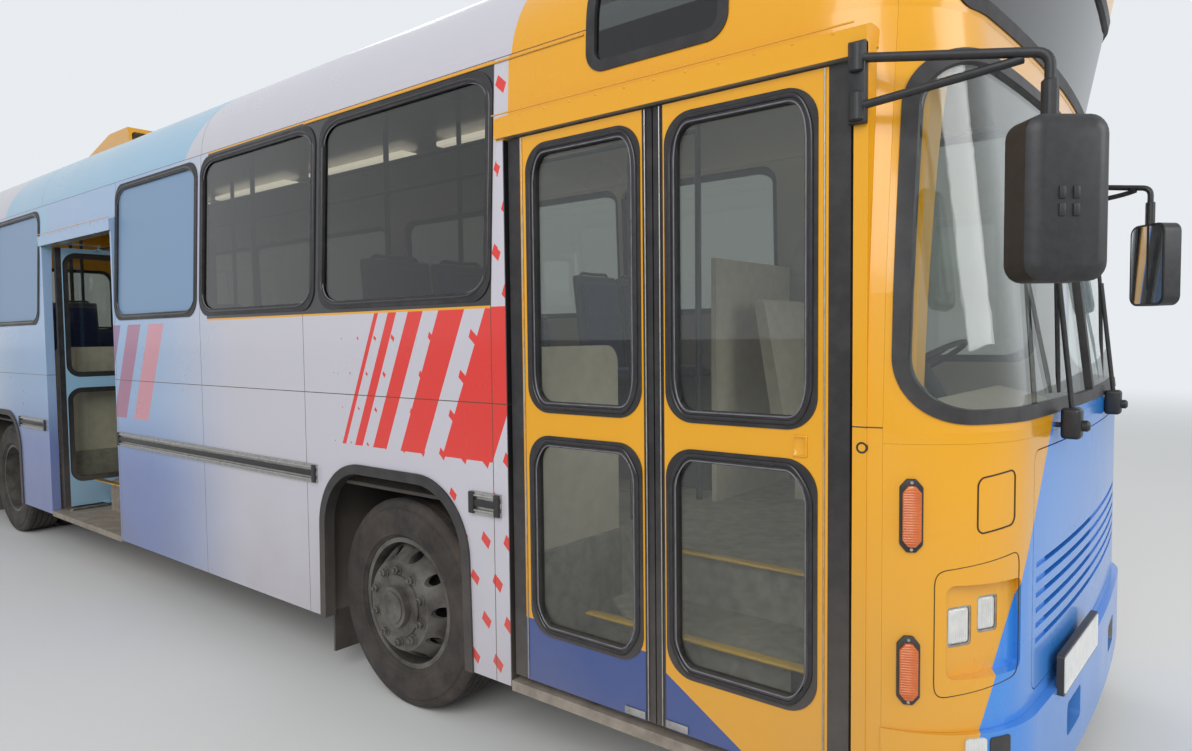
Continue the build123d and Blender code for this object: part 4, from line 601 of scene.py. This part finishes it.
def both_sides(piece):
    """The piece and its mirror image on the other side of the vehicle."""
    return copies(piece, [Matrix.Identity(4), Matrix.Scale(-1, 4, (0, 1, 0))])


def lens(name, low, high, ribs, axis="Z"):
    """Moulded lens plastic: two near shades and ribs of a spacing in millimetres on the inside."""
    material, tree, shader, place = blank(name)
    shade = node(tree, "ShaderNodeTexNoise", {"Vector": place, "Scale": 30.0, "Detail": 3.0})
    colour = node(tree, "ShaderNodeMix", {0: shade, 6: low, 7: high}, data_type="RGBA").outputs[2]
    wave = node(tree, "ShaderNodeTexWave", {"Vector": place, "Scale": 314 / ribs}, bands_direction=axis)
    bump = node(tree, "ShaderNodeBump", {"Height": wave, "Distance": 0.0015, "Strength": 0.8})
    tree.links.new(colour, shader.inputs["Base Color"])
    tree.links.new(bump.outputs[0], shader.inputs["Normal"])
    shader.inputs["Roughness"].default_value = 0.16
    shader.inputs["Coat Weight"].default_value = 1.0
    shader.inputs["Coat Roughness"].default_value = 0.04
    return material


amber = lens("amber_lens", "b44402", "e07206", 7)
red_lens = lens("red_lens", "8c0f12", "b91d1c", 7)
clear_lens = lens("fluted_clear_lens", "b9bcba", "eceae4", 6, "Y")
black_plastic = coating("black_moulded_plastic", "1b1b1d", "262628", 0.45, 2, 0.1, dust=0.3)
bright_zinc = coating("bright_zinc_screws", "b5b4ae", "93918a", 0.35, 3, 0.05, metal=0.9)

# Angle round the corner and height of the middle, and the height of the base
MARKERS = ((-64.5, 1.197, 0.200), (-65.2, 0.771, 0.190))
SCREW_IN, SCREW_RADIUS, SCREW_HIGH = 0.009, 0.0042, 0.004
TAIL_X, TAIL_Y, TAIL_THICK, TAIL_WIDE, TAIL_EDGE = -5.772, -1.072, 0.016, 0.104, 0.005
bases, lenses, screws = [], [], []
for angle, height, high in MARKERS:
    bases.append(wrap(drawn_in(0.060, 0.014, high, 0.022, 0.003), angle, height))
    lenses.append(wrap(drawn_in(0.046, 0.018, high - 0.034, 0.018, 0.016), angle, height))
    for end in (-1, 1):
        screw = disc(14, SCREW_RADIUS, SCREW_HIGH, (0, 0.011, end * (high / 2 - SCREW_IN)))
        screws.append(wrap(screw, angle, height))
for z in (1.235, 1.125, 1.015):
    lenses.append(block((TAIL_THICK, TAIL_WIDE, 0.105), (TAIL_X, TAIL_Y, z), TAIL_EDGE))
stop = block((TAIL_THICK, TAIL_WIDE, 0.166), (TAIL_X, TAIL_Y, 0.775), TAIL_EDGE)
finish(both_sides(joined(lenses)), "marker_lenses", amber, instead_of=("signal_lamps",))
finish(both_sides(stop), "tail_lenses", red_lens)
for z, high in ((1.125, 0.340), (0.775, 0.178)):
    bases.append(block((0.010, 0.116, high), (-5.768, TAIL_Y, z)))
finish(both_sides(joined(bases)), "marker_bases", black_plastic)
finish(both_sides(joined(screws)), "marker_screws", bright_zinc)

# Place of the right headlamp unit, and its lenses: back from the unit's middle, up, width, height
UNIT_AT, UNIT_ANGLE = (5.647, -1.042, 0.875), -30
UNIT_LENSES = ((0.071, 0.007, 0.086, 0.112), (-0.029, 0.031, 0.074, 0.104))
RIM = 0.014
to_unit = Matrix.Translation(UNIT_AT) @ Matrix.Rotation(radians(UNIT_ANGLE - 90), 4, "Z")
frames, lenses = [], []
for x, z, wide, high in UNIT_LENSES:
    ring = slab(wide - 0.001, 0.012, high - 0.001, 0.012)
    inset(ring, lambda f: f.normal.y > 0.9, (0.005, 0), (0.001, -0.006))
    ring.data.transform(to_unit @ Matrix.Translation((x, -0.008, z)))
    frames.append(ring)
    glass = slab(wide - RIM, 0.010, high - RIM, 0.009)
    inset(glass, lambda f: f.normal.y > 0.9, (0.005, 0.004))
    glass.data.transform(to_unit @ Matrix.Translation((x, -0.010, z)))
    lenses.append(glass)
finish(both_sides(joined(lenses)), "headlamp_lenses", clear_lens, instead_of=("headlamps",))
finish(both_sides(joined(frames)), "headlamp_frames", bright_zinc)
fog = wrap(slab(0.062, 0.012, 0.085, 0.010, 8), -42.6, 0.548, BUMPER_PROUD)
finish(both_sides(fog), "fog_lamp_lenses", clear_lens)

CEILING_Z, CEILING_Y, CEILING_X = 3.11, 0.55, (-4.6, -2.9, -1.2, 0.5, 2.2, 3.9)
cover = lens("milky_lamp_cover", "f4f2ea", "fdfcf6", 12, "X")
shader = cover.node_tree.nodes["Principled BSDF"]
shader.inputs["Emission Color"].default_value = linear("fff6e6")
shader.inputs["Emission Strength"].default_value = 2.2
spots = [(x, y, CEILING_Z) for x in CEILING_X for y in (-CEILING_Y, CEILING_Y)]
finish(joined([block((1.30, 0.16, 0.04), at, 0.015, 3) for at in spots]), "ceiling_lamps", cover)

# Front details. Joint lines of the lamp panel and of a blank hatch, drawn as fine dark beads in their
# gaps, the bumper's open slots, and a blank number plate of reflective film in its holder.


def bead(points, radius, closed=False):
    """A round bead or tube along a smooth line; two points near each other make a sharper bend."""
    curve = bpy.data.curves.new("bead", "CURVE")
    curve.dimensions = "3D"
    curve.bevel_depth = radius
    curve.bevel_resolution = 2 if radius < 0.01 else 4
    curve.use_fill_caps = True
    line = curve.splines.new("NURBS")
    line.points.add(len(points) - 1)
    for point, at in zip(line.points, points):
        point.co = (*at, 1)
    line.order_u = 3
    line.resolution_u = 6
    line.use_endpoint_u = not closed
    line.use_cyclic_u = closed
    piece = bpy.data.objects.new("bead", curve)
    bpy.context.collection.objects.link(piece)
    bpy.ops.object.select_all(action="DESELECT")
    piece.select_set(True)
    bpy.context.view_layer.objects.active = piece
    bpy.ops.object.convert(target="MESH")
    smooth(60)
    return bpy.context.object


def outline(wide, high, corner, fall=0.0):
    """The flat outline of a rounded rectangle whose top and bottom fall by a share of X."""
    near = corner / max(wide, high)
    ends = ((-1, -1), (1, -1), (1, 1), (-1, 1))
    points = []
    for (x0, z0), (x1, z1) in zip(ends, ends[1:] + ends[:1]):
        for share in (near, 0.2, 0.4, 0.6, 0.8, 1 - near):
            x = (x0 + (x1 - x0) * share) * wide / 2
            z = (z0 + (z1 - z0) * share) * high / 2
            points.append(Vector((x, 0.0005, z - fall * x)))
    return points


# Each joint: angle round the corner, height, the panel's width, height, corner and fall, bead radius
MASK_JOINTS = (
    (-35.4, 0.888, 0.282, 0.350, 0.02, 0.14, 0.0013),
    (-28.8, 1.228, 0.136, 0.152, 0.014, 0.13, 0.0022),
)
joint = coating("joint_shadow", "2b2318", "3a3024", 0.8, 3, 0.1)
lines = []
for angle, height, wide, high, corner, fall, radius in MASK_JOINTS:
    points = [round_corner(p, angle, height) for p in outline(wide, high, corner, fall)]
    lines.append(bead(points, radius, closed=True))
finish(both_sides(joined(lines)), "mask_joint_lines", joint)
slot = wrap(slab(0.070, 0.006, 0.115, 0.008, 8), -31.2, 0.528, BUMPER_PROUD)
finish(both_sides(slot), "bumper_slots", black_plastic)

PLATE_AT, PLATE_TURN, PLATE_CORNER = (5.797, -0.40, 0.640), radians(-92), 0.010
to_plate = Matrix.Translation(PLATE_AT) @ Matrix.Rotation(PLATE_TURN, 4, "Z")
holder = slab(0.534, 0.020, 0.128, PLATE_CORNER)
holder.data.transform(to_plate)
finish(holder, "plate_holder", black_plastic)
plate = slab(0.520, 0.003, 0.113, PLATE_CORNER)
inset(plate, lambda f: f.normal.y > 0.9, (0.005, 0), (0.001, -0.001))
plate.data.transform(to_plate @ Matrix.Translation((0, 0.011, 0)))
plate_film = coating("reflective_plate_film", "e9e9e6", "dcdcda", 0.35, 4, 0.05)
finish(plate, "blank_number_plate", plate_film)

# Mirrors. Moulded housings with softened edges, held by clamps on two bent tubes that turn down from the
# roof bracket; the glass faces back to the driver.

BRACKET_X, BRACKET_Y, BRACKET_ARMS_Z, MIRROR_TUBE = 5.38, 1.266, (2.43, 2.30), 0.013
MIRROR_AT, MIRROR_TURN = Vector((5.850, -1.235, 2.000)), radians(-138)
MIRROR_WIDE, MIRROR_DEEP, MIRROR_HIGH, MIRROR_CORNER = 0.200, 0.085, 0.385, 0.045
STEM = MIRROR_AT + Vector((-0.02, 0.03, 0))  # the upright part of the tube stands here
GLASS_IN = 0.022

to_mirror = Matrix.Translation(MIRROR_AT) @ Matrix.Rotation(MIRROR_TURN, 4, "Z")
housing = primitive("cube", size=1, scale=(MIRROR_WIDE, MIRROR_DEEP, MIRROR_HIGH))
bpy.ops.object.mode_set(mode="EDIT")
select(housing, lambda e: long_in_y(e, MIRROR_DEEP), "edges")
bpy.ops.mesh.bevel(offset=MIRROR_CORNER, segments=6)
bpy.ops.object.mode_set(mode="OBJECT")
inset(housing, lambda f: f.normal.y > 0.9, (0.008, 0.008), (0.014, 0.007), (0.012, 0.003))
inset(housing, lambda f: f.normal.y < -0.9, (0.005, 0.004), (0.006, -0.004))
smooth(40)
parts = [housing]
for z in (0.01, -0.03):
    for x in (-0.012, 0.022):
        parts.append(block((0.016, 0.006, 0.030), (x, MIRROR_DEEP / 2 + 0.019, z)))
for part in parts:
    part.data.transform(to_mirror)

start, low_start = [Vector((BRACKET_X, -BRACKET_Y, z)) for z in BRACKET_ARMS_Z]
elbow = STEM + Vector((0, 0, 0.36))
along = (elbow - start).normalized()
down = Vector((0, 0, -1))
arm = [start, start.lerp(elbow, 0.5), elbow - 0.07 * along, elbow]
arm += [elbow + 0.07 * down, STEM - 0.20 * down, STEM + 0.12 * down]
parts.append(bead(arm, MIRROR_TUBE))
stay = [low_start, low_start.lerp(elbow, 0.45)]
stay += [elbow - Vector((0.10, 0.02, 0.015)), elbow - Vector((0.06, 0, 0.004))]
parts.append(bead(stay, MIRROR_TUBE * 0.9))
# The two clamps and the sleeve: place, radius, length, sides, and the step of the rim
COLLARS = (
    (start, 0.021, 0.07, 24, (0.005, 0.004)),
    (low_start, 0.021, 0.07, 24, (0.005, 0.004)),
    (STEM - 0.24 * down, 0.020, 0.10, 20, (0.004, 0.005)),
)
for at, radius, long, sides, step in COLLARS:
    collar = disc(sides, radius, long, at, (0, 0, 0))
    inset(collar, lambda f: abs(f.normal.z) > 0.9, step)
    parts.append(collar)
parts.append(block((0.05, 0.022, 0.22), (BRACKET_X, -BRACKET_Y + 0.006, sum(BRACKET_ARMS_Z) / 2), 0.004))
finish(both_sides(joined(parts)), "mirror_sets", black_plastic, instead_of=("mirrors",))
glass = slab(MIRROR_WIDE - GLASS_IN, 0.003, MIRROR_HIGH - GLASS_IN, 0.036)
glass.data.transform(to_mirror @ Matrix.Translation((0, -MIRROR_DEEP / 2 - 0.002, 0)))
silver = coating("mirror_silver", "d9dcdd", "cfd3d5", 0.03, 9, 0.01, metal=1.0)
finish(both_sides(glass), "mirror_glasses", silver)

# Door fittings. Each pane sits in a round glossy rubber bead with a bright filler; the leaves have thin
# edge strips and a plate at the foot, and over the doors are a hinge line and a row of dome rivets.

LEAF_Y, LEAF_LOW, LEAF_HIGH, EDGE_STRIP_X = -1.2405, 0.385, 2.430, 0.2815
PANE_HEIGHTS, PANE_WIDE, PANE_CORNER = ((0.610, 1.286), (1.451, 2.358)), 0.444, 0.060
FOOT_X, FOOT_Z, FOOT_SCREWS = 0.225, 0.398, 0.028
# Each leaf: its middle on its outer face, the way that the face looks, and the foot plate's side
LEAVES = {
    "front_leaf_rear": ((4.377, LEAF_Y - 0.002, 0), 180, -1),
    "front_leaf_front": ((4.998, LEAF_Y - 0.002, 0), 180, 1),
    "mid_leaf_rear": ((-1.100, -0.872, 0), 90, 1),
    "mid_leaf_front": ((0.195, -0.872, 0), -90, -1),
}
glossy_rubber = coating("glossy_bead_rubber", "1f1d20", "2b292c", 0.22, 4, 0.04)
bright_bead = coating("bright_filler_bead", "75747a", "5f5e64", 0.25, 4, 0.04)


def pane_beads(to_face, low, high, wide, corner, bulge=0.008, at=0.020):
    """The round rubber bead and the thin bright filler bead about a pane, set on its face."""
    middle_z = Vector((0, 0, (low + high) / 2))
    rings = []
    for grow, radius in ((at, bulge), (0.004, 0.003)):
        flat = outline(wide + 2 * grow, high - low + 2 * grow, corner + grow)
        rings.append(bead([to_face @ (p + middle_z) for p in flat], radius, closed=True))
    return rings


def straight(start, end, radius):
    """A straight round bead between two points."""
    middle_at = [(a + b) / 2 for a, b in zip(start, end)]
    return bead([start, middle_at, end], radius)


for leaf, (at, turn, foot_side) in LEAVES.items():
    to_face = Matrix.Translation(at) @ Matrix.Rotation(radians(turn), 4, "Z")
    rings = [pane_beads(to_face, low, high, PANE_WIDE, PANE_CORNER) for low, high in PANE_HEIGHTS]
    finish(joined([pair[0] for pair in rings]), f"{leaf}_beads", glossy_rubber, leaf)
    finish(joined([pair[1] for pair in rings]), f"{leaf}_filler", bright_bead, leaf)
    foot_x = foot_side * FOOT_X
    fittings = [block((0.088, 0.004, 0.026), (foot_x, 0.001, FOOT_Z), 0.0015)]
    for x in (-EDGE_STRIP_X, EDGE_STRIP_X):
        fittings.append(bead([(x, 0, LEAF_LOW), (x, 0, 1.4), (x, 0, LEAF_HIGH)], 0.0025))
    for x in (foot_x - FOOT_SCREWS, foot_x + FOOT_SCREWS):
        fittings.append(disc(12, 0.004, 0.003, (x, 0.004, FOOT_Z)))
    for piece in fittings:
        piece.data.transform(to_face)
    finish(joined(fittings), f"{leaf}_trim", aluminium, leaf)

cup = block((0.046, 0.010, 0.064), (5.206, LEAF_Y, 1.365))
inset(cup, lambda f: f.normal.y < -0.9, (0.005, 0), (0.002, -0.004))
finish(cup, "door_pull_cup", yellow_enamel, "front_leaf_front")
lock = disc(24, 0.016, 0.006, (5.392, -1.248, 1.376))
inset(lock, lambda f: f.normal.y < -0.9, (0.004, 0), (0.003, -0.002))
finish(lock, "door_release_lock", black_plastic)

HEADER_Y, RIVET_Z, HINGE_Z, RIVET_STEP = -1.2625, 2.512, 2.5295, 0.12
GUTTER_Y, GUTTER_Z, GUTTERS_X = -1.2125, 2.748, ((5.42, 4.97), (4.38, 2.585))
rivet = primitive("uv_sphere", segments=10, ring_count=6, radius=0.0045)
rivet.data.transform(Matrix.Scale(0.5, 4, (0, 1, 0)))
spots = [(x + RIVET_STEP * i, HEADER_Y, RIVET_Z) for x in (3.99, -1.15) for i in range(12)]
finish(copies(rivet, [Matrix.Translation(at) for at in spots]), "header_rivets", yellow_enamel)
hinges = [
    bead([(x, HEADER_Y, HINGE_Z), (x + 0.70, HEADER_Y, HINGE_Z), (x + 1.41, HEADER_Y, HINGE_Z)], 0.0028)
    for x in (3.96, -1.17)
]
finish(joined(hinges), "header_hinges", yellow_enamel)
gutters = [straight((x0, GUTTER_Y, GUTTER_Z), (x1, GUTTER_Y, GUTTER_Z), 0.005) for x0, x1 in GUTTERS_X]
finish(both_sides(joined(gutters)), "gutter_beads", yellow_enamel)

# Saloon window beads and rub rail ribs. A round rubber bead with a bright filler goes about each pane, and
# two polished ribs with a black inlay run between black end pieces on each rail.

SHARED_PANES_X = (3.3225, 2.0875, 0.8525, -1.8575, -3.0925, -4.3275)
SALOON_PANE, DRIVER_PANE = (1.870, 2.700, 1.125), (1.570, 2.700, 1.180)  # low, high, width
# Each side's panes: the middle, and low, high and width
SIDE_PANES = {
    -1: [(x, *SALOON_PANE) for x in SHARED_PANES_X],
    1: [(x, *SALOON_PANE) for x in (*SHARED_PANES_X, -0.6175)] + [(4.730, *DRIVER_PANE)],
}
WALL_LEAN, BELT_Z, HALF_WIDTH = 0.04 / 0.96, 1.80, 1.25
rings = []
for side, panes in SIDE_PANES.items():
    wall_y = side * (HALF_WIDTH + WALL_LEAN * BELT_Z)
    for x, low, high, wide in panes:
        to_wall = Matrix(((1, 0, 0, x), (0, 1, -side * WALL_LEAN, wall_y), (0, 0, 1, 0), (0, 0, 0, 1)))
        rings.append(pane_beads(to_wall, low, high, wide, 0.070, 0.009, 0.017))
finish(joined([pair[0] for pair in rings]), "saloon_pane_beads", glossy_rubber)
finish(joined([pair[1] for pair in rings]), "saloon_pane_filler", bright_bead)

# Each rail's rear and front end, by side
RAILS = {
    -1: ((3.797, 3.970), (0.265, 2.683), (-1.803, -1.170), (-5.580, -2.917)),
    1: ((3.797, 5.385), (-1.803, 2.683), (-5.580, -2.917)),
}
RAIL_Y, RAIL_Z, RIB_UP, RIB_RADIUS = 1.2645, 1.034, 0.030, 0.005
ribs, inlays = [], []
for side, rails in RAILS.items():
    y, proud_y = side * RAIL_Y, side * (RAIL_Y + 0.001)
    for low, high in rails:
        for z in (RAIL_Z - RIB_UP, RAIL_Z + RIB_UP):
            ribs.append(straight((low + 0.03, y, z), (high - 0.03, y, z), RIB_RADIUS))
        inlays.append(block((high - low - 0.05, 0.004, 0.026), ((low + high) / 2, proud_y, RAIL_Z), 0.0015))
        for x in (low + 0.014, high - 0.014):
            inlays.append(block((0.030, 0.012, 0.088), (x, proud_y, RAIL_Z), 0.004))
finish(joined(ribs), "rail_ribs", aluminium)
finish(joined(inlays), "rail_inlays", black_plastic)

# Seats. Moulded shells on pedestals, with a grab handle over each back, and thin pads of woven moquette
# in dark blue glued to the seat and the back.

ROWS_X = (-4.965, -4.265, -3.515, -2.675, -1.215, -0.425, 0.365, 1.155, 1.945, 2.935)
RAISED_ROWS_X, DOORWAY_ROWS_X = (-2.675, 2.935), (-1.215, -0.425)
ROW_Z, RAISED_ROW_Z, ROW_SEATS_Y = 0.80, 1.015, (0.555, 0.975)
REAR_ROW_X, REAR_SEATS_Y = -5.675, (-0.94, -0.47, 0.0, 0.47, 0.94)
HANDLE = ((-0.14, 1.02), (-0.14, 1.075), (-0.05, 1.068), (0.05, 1.068), (0.14, 1.075), (0.14, 1.02))
shell_parts, pads = [], []
back_lean = Matrix.Rotation(radians(-7), 4, "Y")


def seat_at(x, y, z):
    """One seat: its pan, back, handle and foot join the shells, its two pads the pads."""
    pan = block((0.42, 0.41, 0.05), (0.30, 0, 0.43), 0.020, 4)
    back = block((0.045, 0.40, 0.66), (0, 0, 0.33), 0.020, 4)
    back.data.transform(Matrix.Translation((0.115, 0, 0.40)) @ back_lean)
    handle = bead([(0.03, across, up) for across, up in HANDLE], 0.010)
    foot = block((0.10, 0.05, 0.42), (0.28, 0, 0.21), 0.010)
    seat_pad = block((0.36, 0.36, 0.03), (0.315, 0, 0.462), 0.013, 4)
    back_pad = block((0.028, 0.35, 0.52), (0, 0, 0.36), 0.013, 4)
    back_pad.data.transform(Matrix.Translation((0.147, 0, 0.40)) @ back_lean)
    for piece in (pan, back, handle, foot, seat_pad, back_pad):
        piece.data.transform(Matrix.Translation((x, y, z)))
    shell_parts.extend((pan, back, handle, foot))
    pads.extend((seat_pad, back_pad))


for x in ROWS_X:
    for side in (-1, 1):
        if side > 0 or x not in DOORWAY_ROWS_X:
            for y in ROW_SEATS_Y:
                seat_at(x, side * y, RAISED_ROW_Z if x in RAISED_ROWS_X else ROW_Z)
for y in REAR_SEATS_Y:
    seat_at(REAR_ROW_X, y, ROW_Z)
shell_plastic = coating("seat_shell_plastic", "3a3f4a", "454b58", 0.4, 3, 0.1)
finish(joined(shell_parts), "seat_shells", shell_plastic, instead_of=("seats",))

# woven moquette: two blues in 6 mm checks with small red flecks, soft and without gloss
moquette, tree, shader, place = blank("moquette")
checks = {"Vector": place, "Scale": 160.0, "Color1": "26365f", "Color2": "31457a"}
weave = node(tree, "ShaderNodeTexChecker", checks)
fleck = node(tree, "ShaderNodeTexVoronoi", {"Vector": place, "Scale": 45.0})
spot = node(tree, "ShaderNodeMath", {0: fleck.outputs["Distance"], 1: 0.16}, operation="LESS_THAN")
colour = node(tree, "ShaderNodeMix", {0: spot, 6: weave, 7: "a3434c"}, data_type="RGBA").outputs[2]
dress(tree, shader, place, colour, 0.9, 1.5, 0.4)
shader.inputs["Sheen Weight"].default_value = 0.3
finish(joined(pads), "seat_pads", moquette)

# Wiper drives. A moulded foot stands at each spindle below the windscreen, with a domed nut in front.

WIPERS_Y = (-0.62, 0.30)
feet = []
for y in WIPERS_Y:
    feet.append(block((0.055, 0.062, 0.095), (5.800, y, 1.412), 0.012, 4))
    nut = disc(20, 0.017, 0.02, (5.832, y, 1.405), (0, pi / 2, 0))
    inset(nut, lambda f: f.normal.x > 0.9, (0.006, 0.006))
    feet.append(nut)
finish(joined(feet), "wiper_feet", black_plastic)

# Step edges. Yellow anti-slip nosings of ribbed plastic, glued along the edge of each step and of the
# floor behind it, between the open leaves of both doorways.

DOORWAYS_X, EDGES_YZ = (4.6875, -0.4525), ((-0.975, 0.5865), (-0.645, 0.8015))
ribbed = lens("ribbed_nosing", "e0a60f", "f0bb2a", 8, "Y")
nosings = [block((1.02, 0.052, 0.010), (x, y, z)) for x in DOORWAYS_X for y, z in EDGES_YZ]
finish(joined(nosings), "step_nosings", ribbed)

# Floor, light and camera. A pale studio floor under a wide soft light, seen from the place and angle
# of the photograph; far off the floor is as pale as the sky, so that no horizon shows.

SKY_PALE, SKY_SEEN, SKY_LIGHT = "eef2f6", 0.95, 0.55
ground = primitive("plane", size=600)
ground.name = "studio_floor"
material, tree, shader, place = blank("studio_floor_paint")
shader.inputs["Base Color"].default_value = linear("e4e4e2")
shader.inputs["Roughness"].default_value = 0.9
away = node(tree, "ShaderNodeVectorMath", {0: place}, operation="LENGTH").outputs["Value"]
reach = {"Value": away, "From Min": 9.0, "From Max": 26.0}
far = node(tree, "ShaderNodeMapRange", reach, interpolation_type="SMOOTHSTEP")
by_camera = node(tree, "ShaderNodeLightPath").outputs["Is Camera Ray"]
seen = node(tree, "ShaderNodeMath", {0: far, 1: by_camera}, operation="MULTIPLY")
pale = node(tree, "ShaderNodeEmission", {"Color": SKY_PALE, "Strength": SKY_SEEN})
mixed = node(tree, "ShaderNodeMixShader", {0: seen, 1: shader, 2: pale})
tree.links.new(mixed.outputs[0], tree.nodes["Material Output"].inputs["Surface"])
ground.data.materials.append(material)

world = bpy.data.worlds.new("studio_sky")
bpy.context.scene.world = world
world.use_nodes = True
tree = world.node_tree
sky = tree.nodes["Background"]
sky.inputs["Color"].default_value = linear(SKY_PALE)
path = node(tree, "ShaderNodeLightPath").outputs
seen = node(tree, "ShaderNodeMath", {0: path["Is Camera Ray"], 1: path["Is Glossy Ray"]}, operation="ADD")
seen = node(tree, "ShaderNodeMath", {0: seen, 1: path["Is Transmission Ray"]}, operation="ADD")
seen.use_clamp = True
strength = node(tree, "ShaderNodeMapRange", {"Value": seen, "To Min": SKY_LIGHT, "To Max": SKY_SEEN})
tree.links.new(strength.outputs[0], sky.inputs["Strength"])

# Each lamp: its place, its size and its power
LAMPS = {
    "key": ((9.0, -12.0, 9.0), 9.0, 1150),
    "front": ((16.0, 2.0, 6.0), 6.0, 380),
    "fill": ((-8.0, 11.0, 9.0), 9.0, 600),
}
AIM = Vector((0.0, 0.0, 1.2))
for name, (at, size, power) in LAMPS.items():
    lamp = bpy.data.objects.new(name, bpy.data.lights.new(name, "AREA"))
    lamp.data.size = size
    lamp.data.energy = power
    lamp.location = at
    lamp.rotation_euler = (AIM - Vector(at)).to_track_quat("-Z", "Y").to_euler()
    bpy.context.collection.objects.link(lamp)

CAMERA_AT = (6.223, -3.421, 1.690)
TURN, DROP, ROLL, LENS = radians(39.248), radians(2.768), radians(-0.618), 24.33
back = Vector((sin(TURN) * cos(DROP), -cos(TURN) * cos(DROP), sin(DROP)))
right = Vector((0, 0, 1)).cross(back).normalized()
up = back.cross(right)
right, up = cos(ROLL) * right + sin(ROLL) * up, cos(ROLL) * up - sin(ROLL) * right
camera = bpy.data.objects.new("camera", bpy.data.cameras.new("camera"))
camera.data.lens = LENS
camera.data.clip_end = 1000
camera.matrix_world = Matrix.Translation(CAMERA_AT) @ Matrix((right, up, back)).transposed().to_4x4()
bpy.context.collection.objects.link(camera)
bpy.context.scene.camera = camera
bpy.context.scene.view_settings.view_transform = "Standard"
